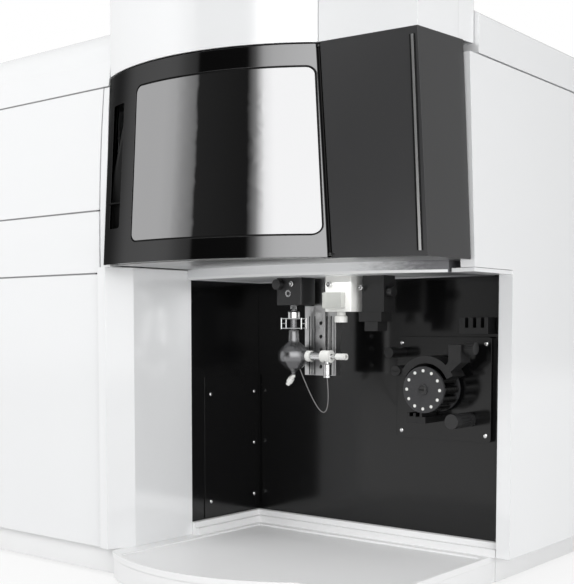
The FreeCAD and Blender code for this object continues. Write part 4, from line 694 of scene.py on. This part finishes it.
# Two thin dark sheets, proud of the hood, are painted shade: they stand in for the shade in the grooves on
# each side of the strip.
groove_shade_sheets = bmesh.new()
groove_faces = []
for side in (-1, 1):
    ends = []
    for level in (strip_low[2], strip_high[2]):
        row = [point for point in strip_points if abs(point.z - level) < LEVEL_SEARCH]
        row.sort(key=lambda point: point.x * side)
        inner = min(row[-END_CORNERS:], key=lambda point: point.y) + FRONT * GROOVE_PROUD
        across = (row[-1] - row[0]).normalized()
        ends.append((groove_shade_sheets.verts.new(inner), groove_shade_sheets.verts.new(inner + across * GROOVE_WIDTH)))
    (low_inner, low_outer), (high_inner, high_outer) = ends
    groove_faces.append(groove_shade_sheets.faces.new((low_inner, low_outer, high_outer, high_inner)))
thicken(groove_shade_sheets, groove_faces, GROOVE_DEPTH)
add_piece("strip_groove_painted_shade", groove_shade_sheets, rubber, "case")
print("groove width", GROOVE_WIDTH)

# %% Painted shade of the rail's grooves
RAIL_GROOVES = (0.18, 0.36, 0.75, 0.89)
RAIL_GROOVE_WIDTH = 0.0014
RAIL_GROOVE_PROUD = 0.0002
RAIL_GROOVE_DEPTH = 0.0005
RAIL_GROOVE_START = 0.001
RAIL_GROOVE_HIDDEN = 0.01
rail_low, rail_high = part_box("stand_rail")
# Thin dark boxes on the rail's face are painted shade: they stand in for the shade in its grooves.
rail_lines = bmesh.new()
for share in RAIL_GROOVES:
    x = rail_low[0] + share * (rail_high[0] - rail_low[0])
    add_box(rail_lines, (x, rail_low[1] - RAIL_GROOVE_PROUD, rail_low[2] + RAIL_GROOVE_START),
            (x + RAIL_GROOVE_WIDTH, rail_low[1] + RAIL_GROOVE_DEPTH, stand_low[2] + RAIL_GROOVE_HIDDEN))
add_piece("rail_groove_painted_shade", rail_lines, rubber, "case")
print("rail grooves", len(RAIL_GROOVES))

# %% Hub cap of the rotor
HUB_RADIUS = 0.0065
HUB_HEIGHT = 0.0012
HUB_CHAMFER = 0.0013
HUB_SHOULDER = 0.0006
SLOT_HALF = (0.0042, 0.0002, 0.0008)
rotor_low, rotor_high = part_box("pump_rotor")
hub = Vector(((rotor_low[0] + rotor_high[0]) / 2, rotor_low[1], (rotor_low[2] + rotor_high[2]) / 2))
cap = bmesh.new()
add_turned(cap, [(HUB_RADIUS, 0.0), (HUB_RADIUS, HUB_SHOULDER), (HUB_RADIUS - HUB_CHAMFER, HUB_HEIGHT),
                 (0.0, HUB_HEIGHT)], hub)
add_piece("hub_cap", cap, black, "rotor")
# The slot in the cap is a thin dark box on its face: painted shade where the slot's recess would be.
slot_middle = hub + FRONT * HUB_HEIGHT
hub_slot_painted_shade = bmesh.new()
add_box(hub_slot_painted_shade, slot_middle - Vector(SLOT_HALF), slot_middle + Vector(SLOT_HALF))
add_piece("hub_slot_painted_shade", hub_slot_painted_shade, rubber, "rotor")
print("hub", [round(value, 3) for value in hub])

# %% [markdown]
# The door is a ruled surface between two bows, so a strip behind its skin is found on it: a ray from the
# front finds the skin above and below the handle slot, and straight lines join these points. The strip is
# dark and narrow, and it lines the outer edge of the slot. It doesn't reach across the slot's upper half.

# %% Liner at the outer edge of the handle slot
SKIN_BEHIND = 0.0065
LINER_EDGE = 0.005
LINER_BEYOND = 0.006
LINER_THICKNESS = 0.001
LINER_STEPS = 6
SEARCH_STEP = 0.0005
SEARCH_START = 0.1
cup_low, cup_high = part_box("door_handle_cup")
door_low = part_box("door_shell")[0]
door_tree = tree_of("door_shell")
search_from = door_low[1] - SEARCH_START
liner = bmesh.new()
rows = []
for level in (cup_low[2] - LINER_BEYOND, cup_high[2] + LINER_BEYOND):
    left = door_low[0]
    while seen_from_front(door_tree, left, search_from, level) is None:
        left += SEARCH_STEP
    left += LINER_EDGE
    right = cup_low[0] + LINER_EDGE
    row = []
    for step in range(LINER_STEPS + 1):
        x = left + (right - left) * step / LINER_STEPS
        skin = seen_from_front(door_tree, x, search_from, level)
        row.append(liner.verts.new(skin + BACKWARD * SKIN_BEHIND))
    rows.append(row)
low_row, high_row = rows
faces = [liner.faces.new((a, b, d, c)) for a, b, c, d in zip(low_row, low_row[1:], high_row, high_row[1:])]
thicken(liner, faces, LINER_THICKNESS)
add_piece("handle_liner", liner, rubber, "door")
print("liner steps", LINER_STEPS)

# %% [markdown]
# The ceiling of the bay ends in a bright folded lip. It follows the plate's bowed front edge, found with
# rays too.

# %% Lip of the ceiling
LIP_HEIGHT = 0.004
LIP_PROUD = 0.0006
LIP_INSET = 0.001
LIP_SEARCH = 0.0015
LIP_STEPS = 40
lip_outline = ((0, 0), (0, LIP_HEIGHT), (LIP_PROUD, LIP_HEIGHT), (LIP_PROUD, 0))
ceiling_low, ceiling_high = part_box("bay_ceiling")
ceiling_tree = tree_of("bay_ceiling")
lip_width = ceiling_high[0] - ceiling_low[0] - 2 * LIP_INSET
lip = bmesh.new()
lip_rows = []
for step in range(LIP_STEPS + 1):
    x = ceiling_low[0] + LIP_INSET + lip_width * step / LIP_STEPS
    edge = seen_from_front(ceiling_tree, x, ceiling_low[1] - SEARCH_START, ceiling_low[2] + LIP_SEARCH)
    corner = Vector((x, edge.y - LIP_PROUD, ceiling_low[2]))
    lip_rows.append([lip.verts.new(corner + Vector((0, back, up))) for back, up in lip_outline])
for before, after in zip(lip_rows, lip_rows[1:]):
    for first in range(len(lip_outline)):
        lip.faces.new((before[first - 1], before[first], after[first], after[first - 1]))
lip.faces.new(lip_rows[0])
lip.faces.new(lip_rows[-1])
bmesh.ops.recalc_face_normals(lip, faces=lip.faces)
add_piece("ceiling_lip", lip, lip_white(), "case")
print("lip steps", LIP_STEPS)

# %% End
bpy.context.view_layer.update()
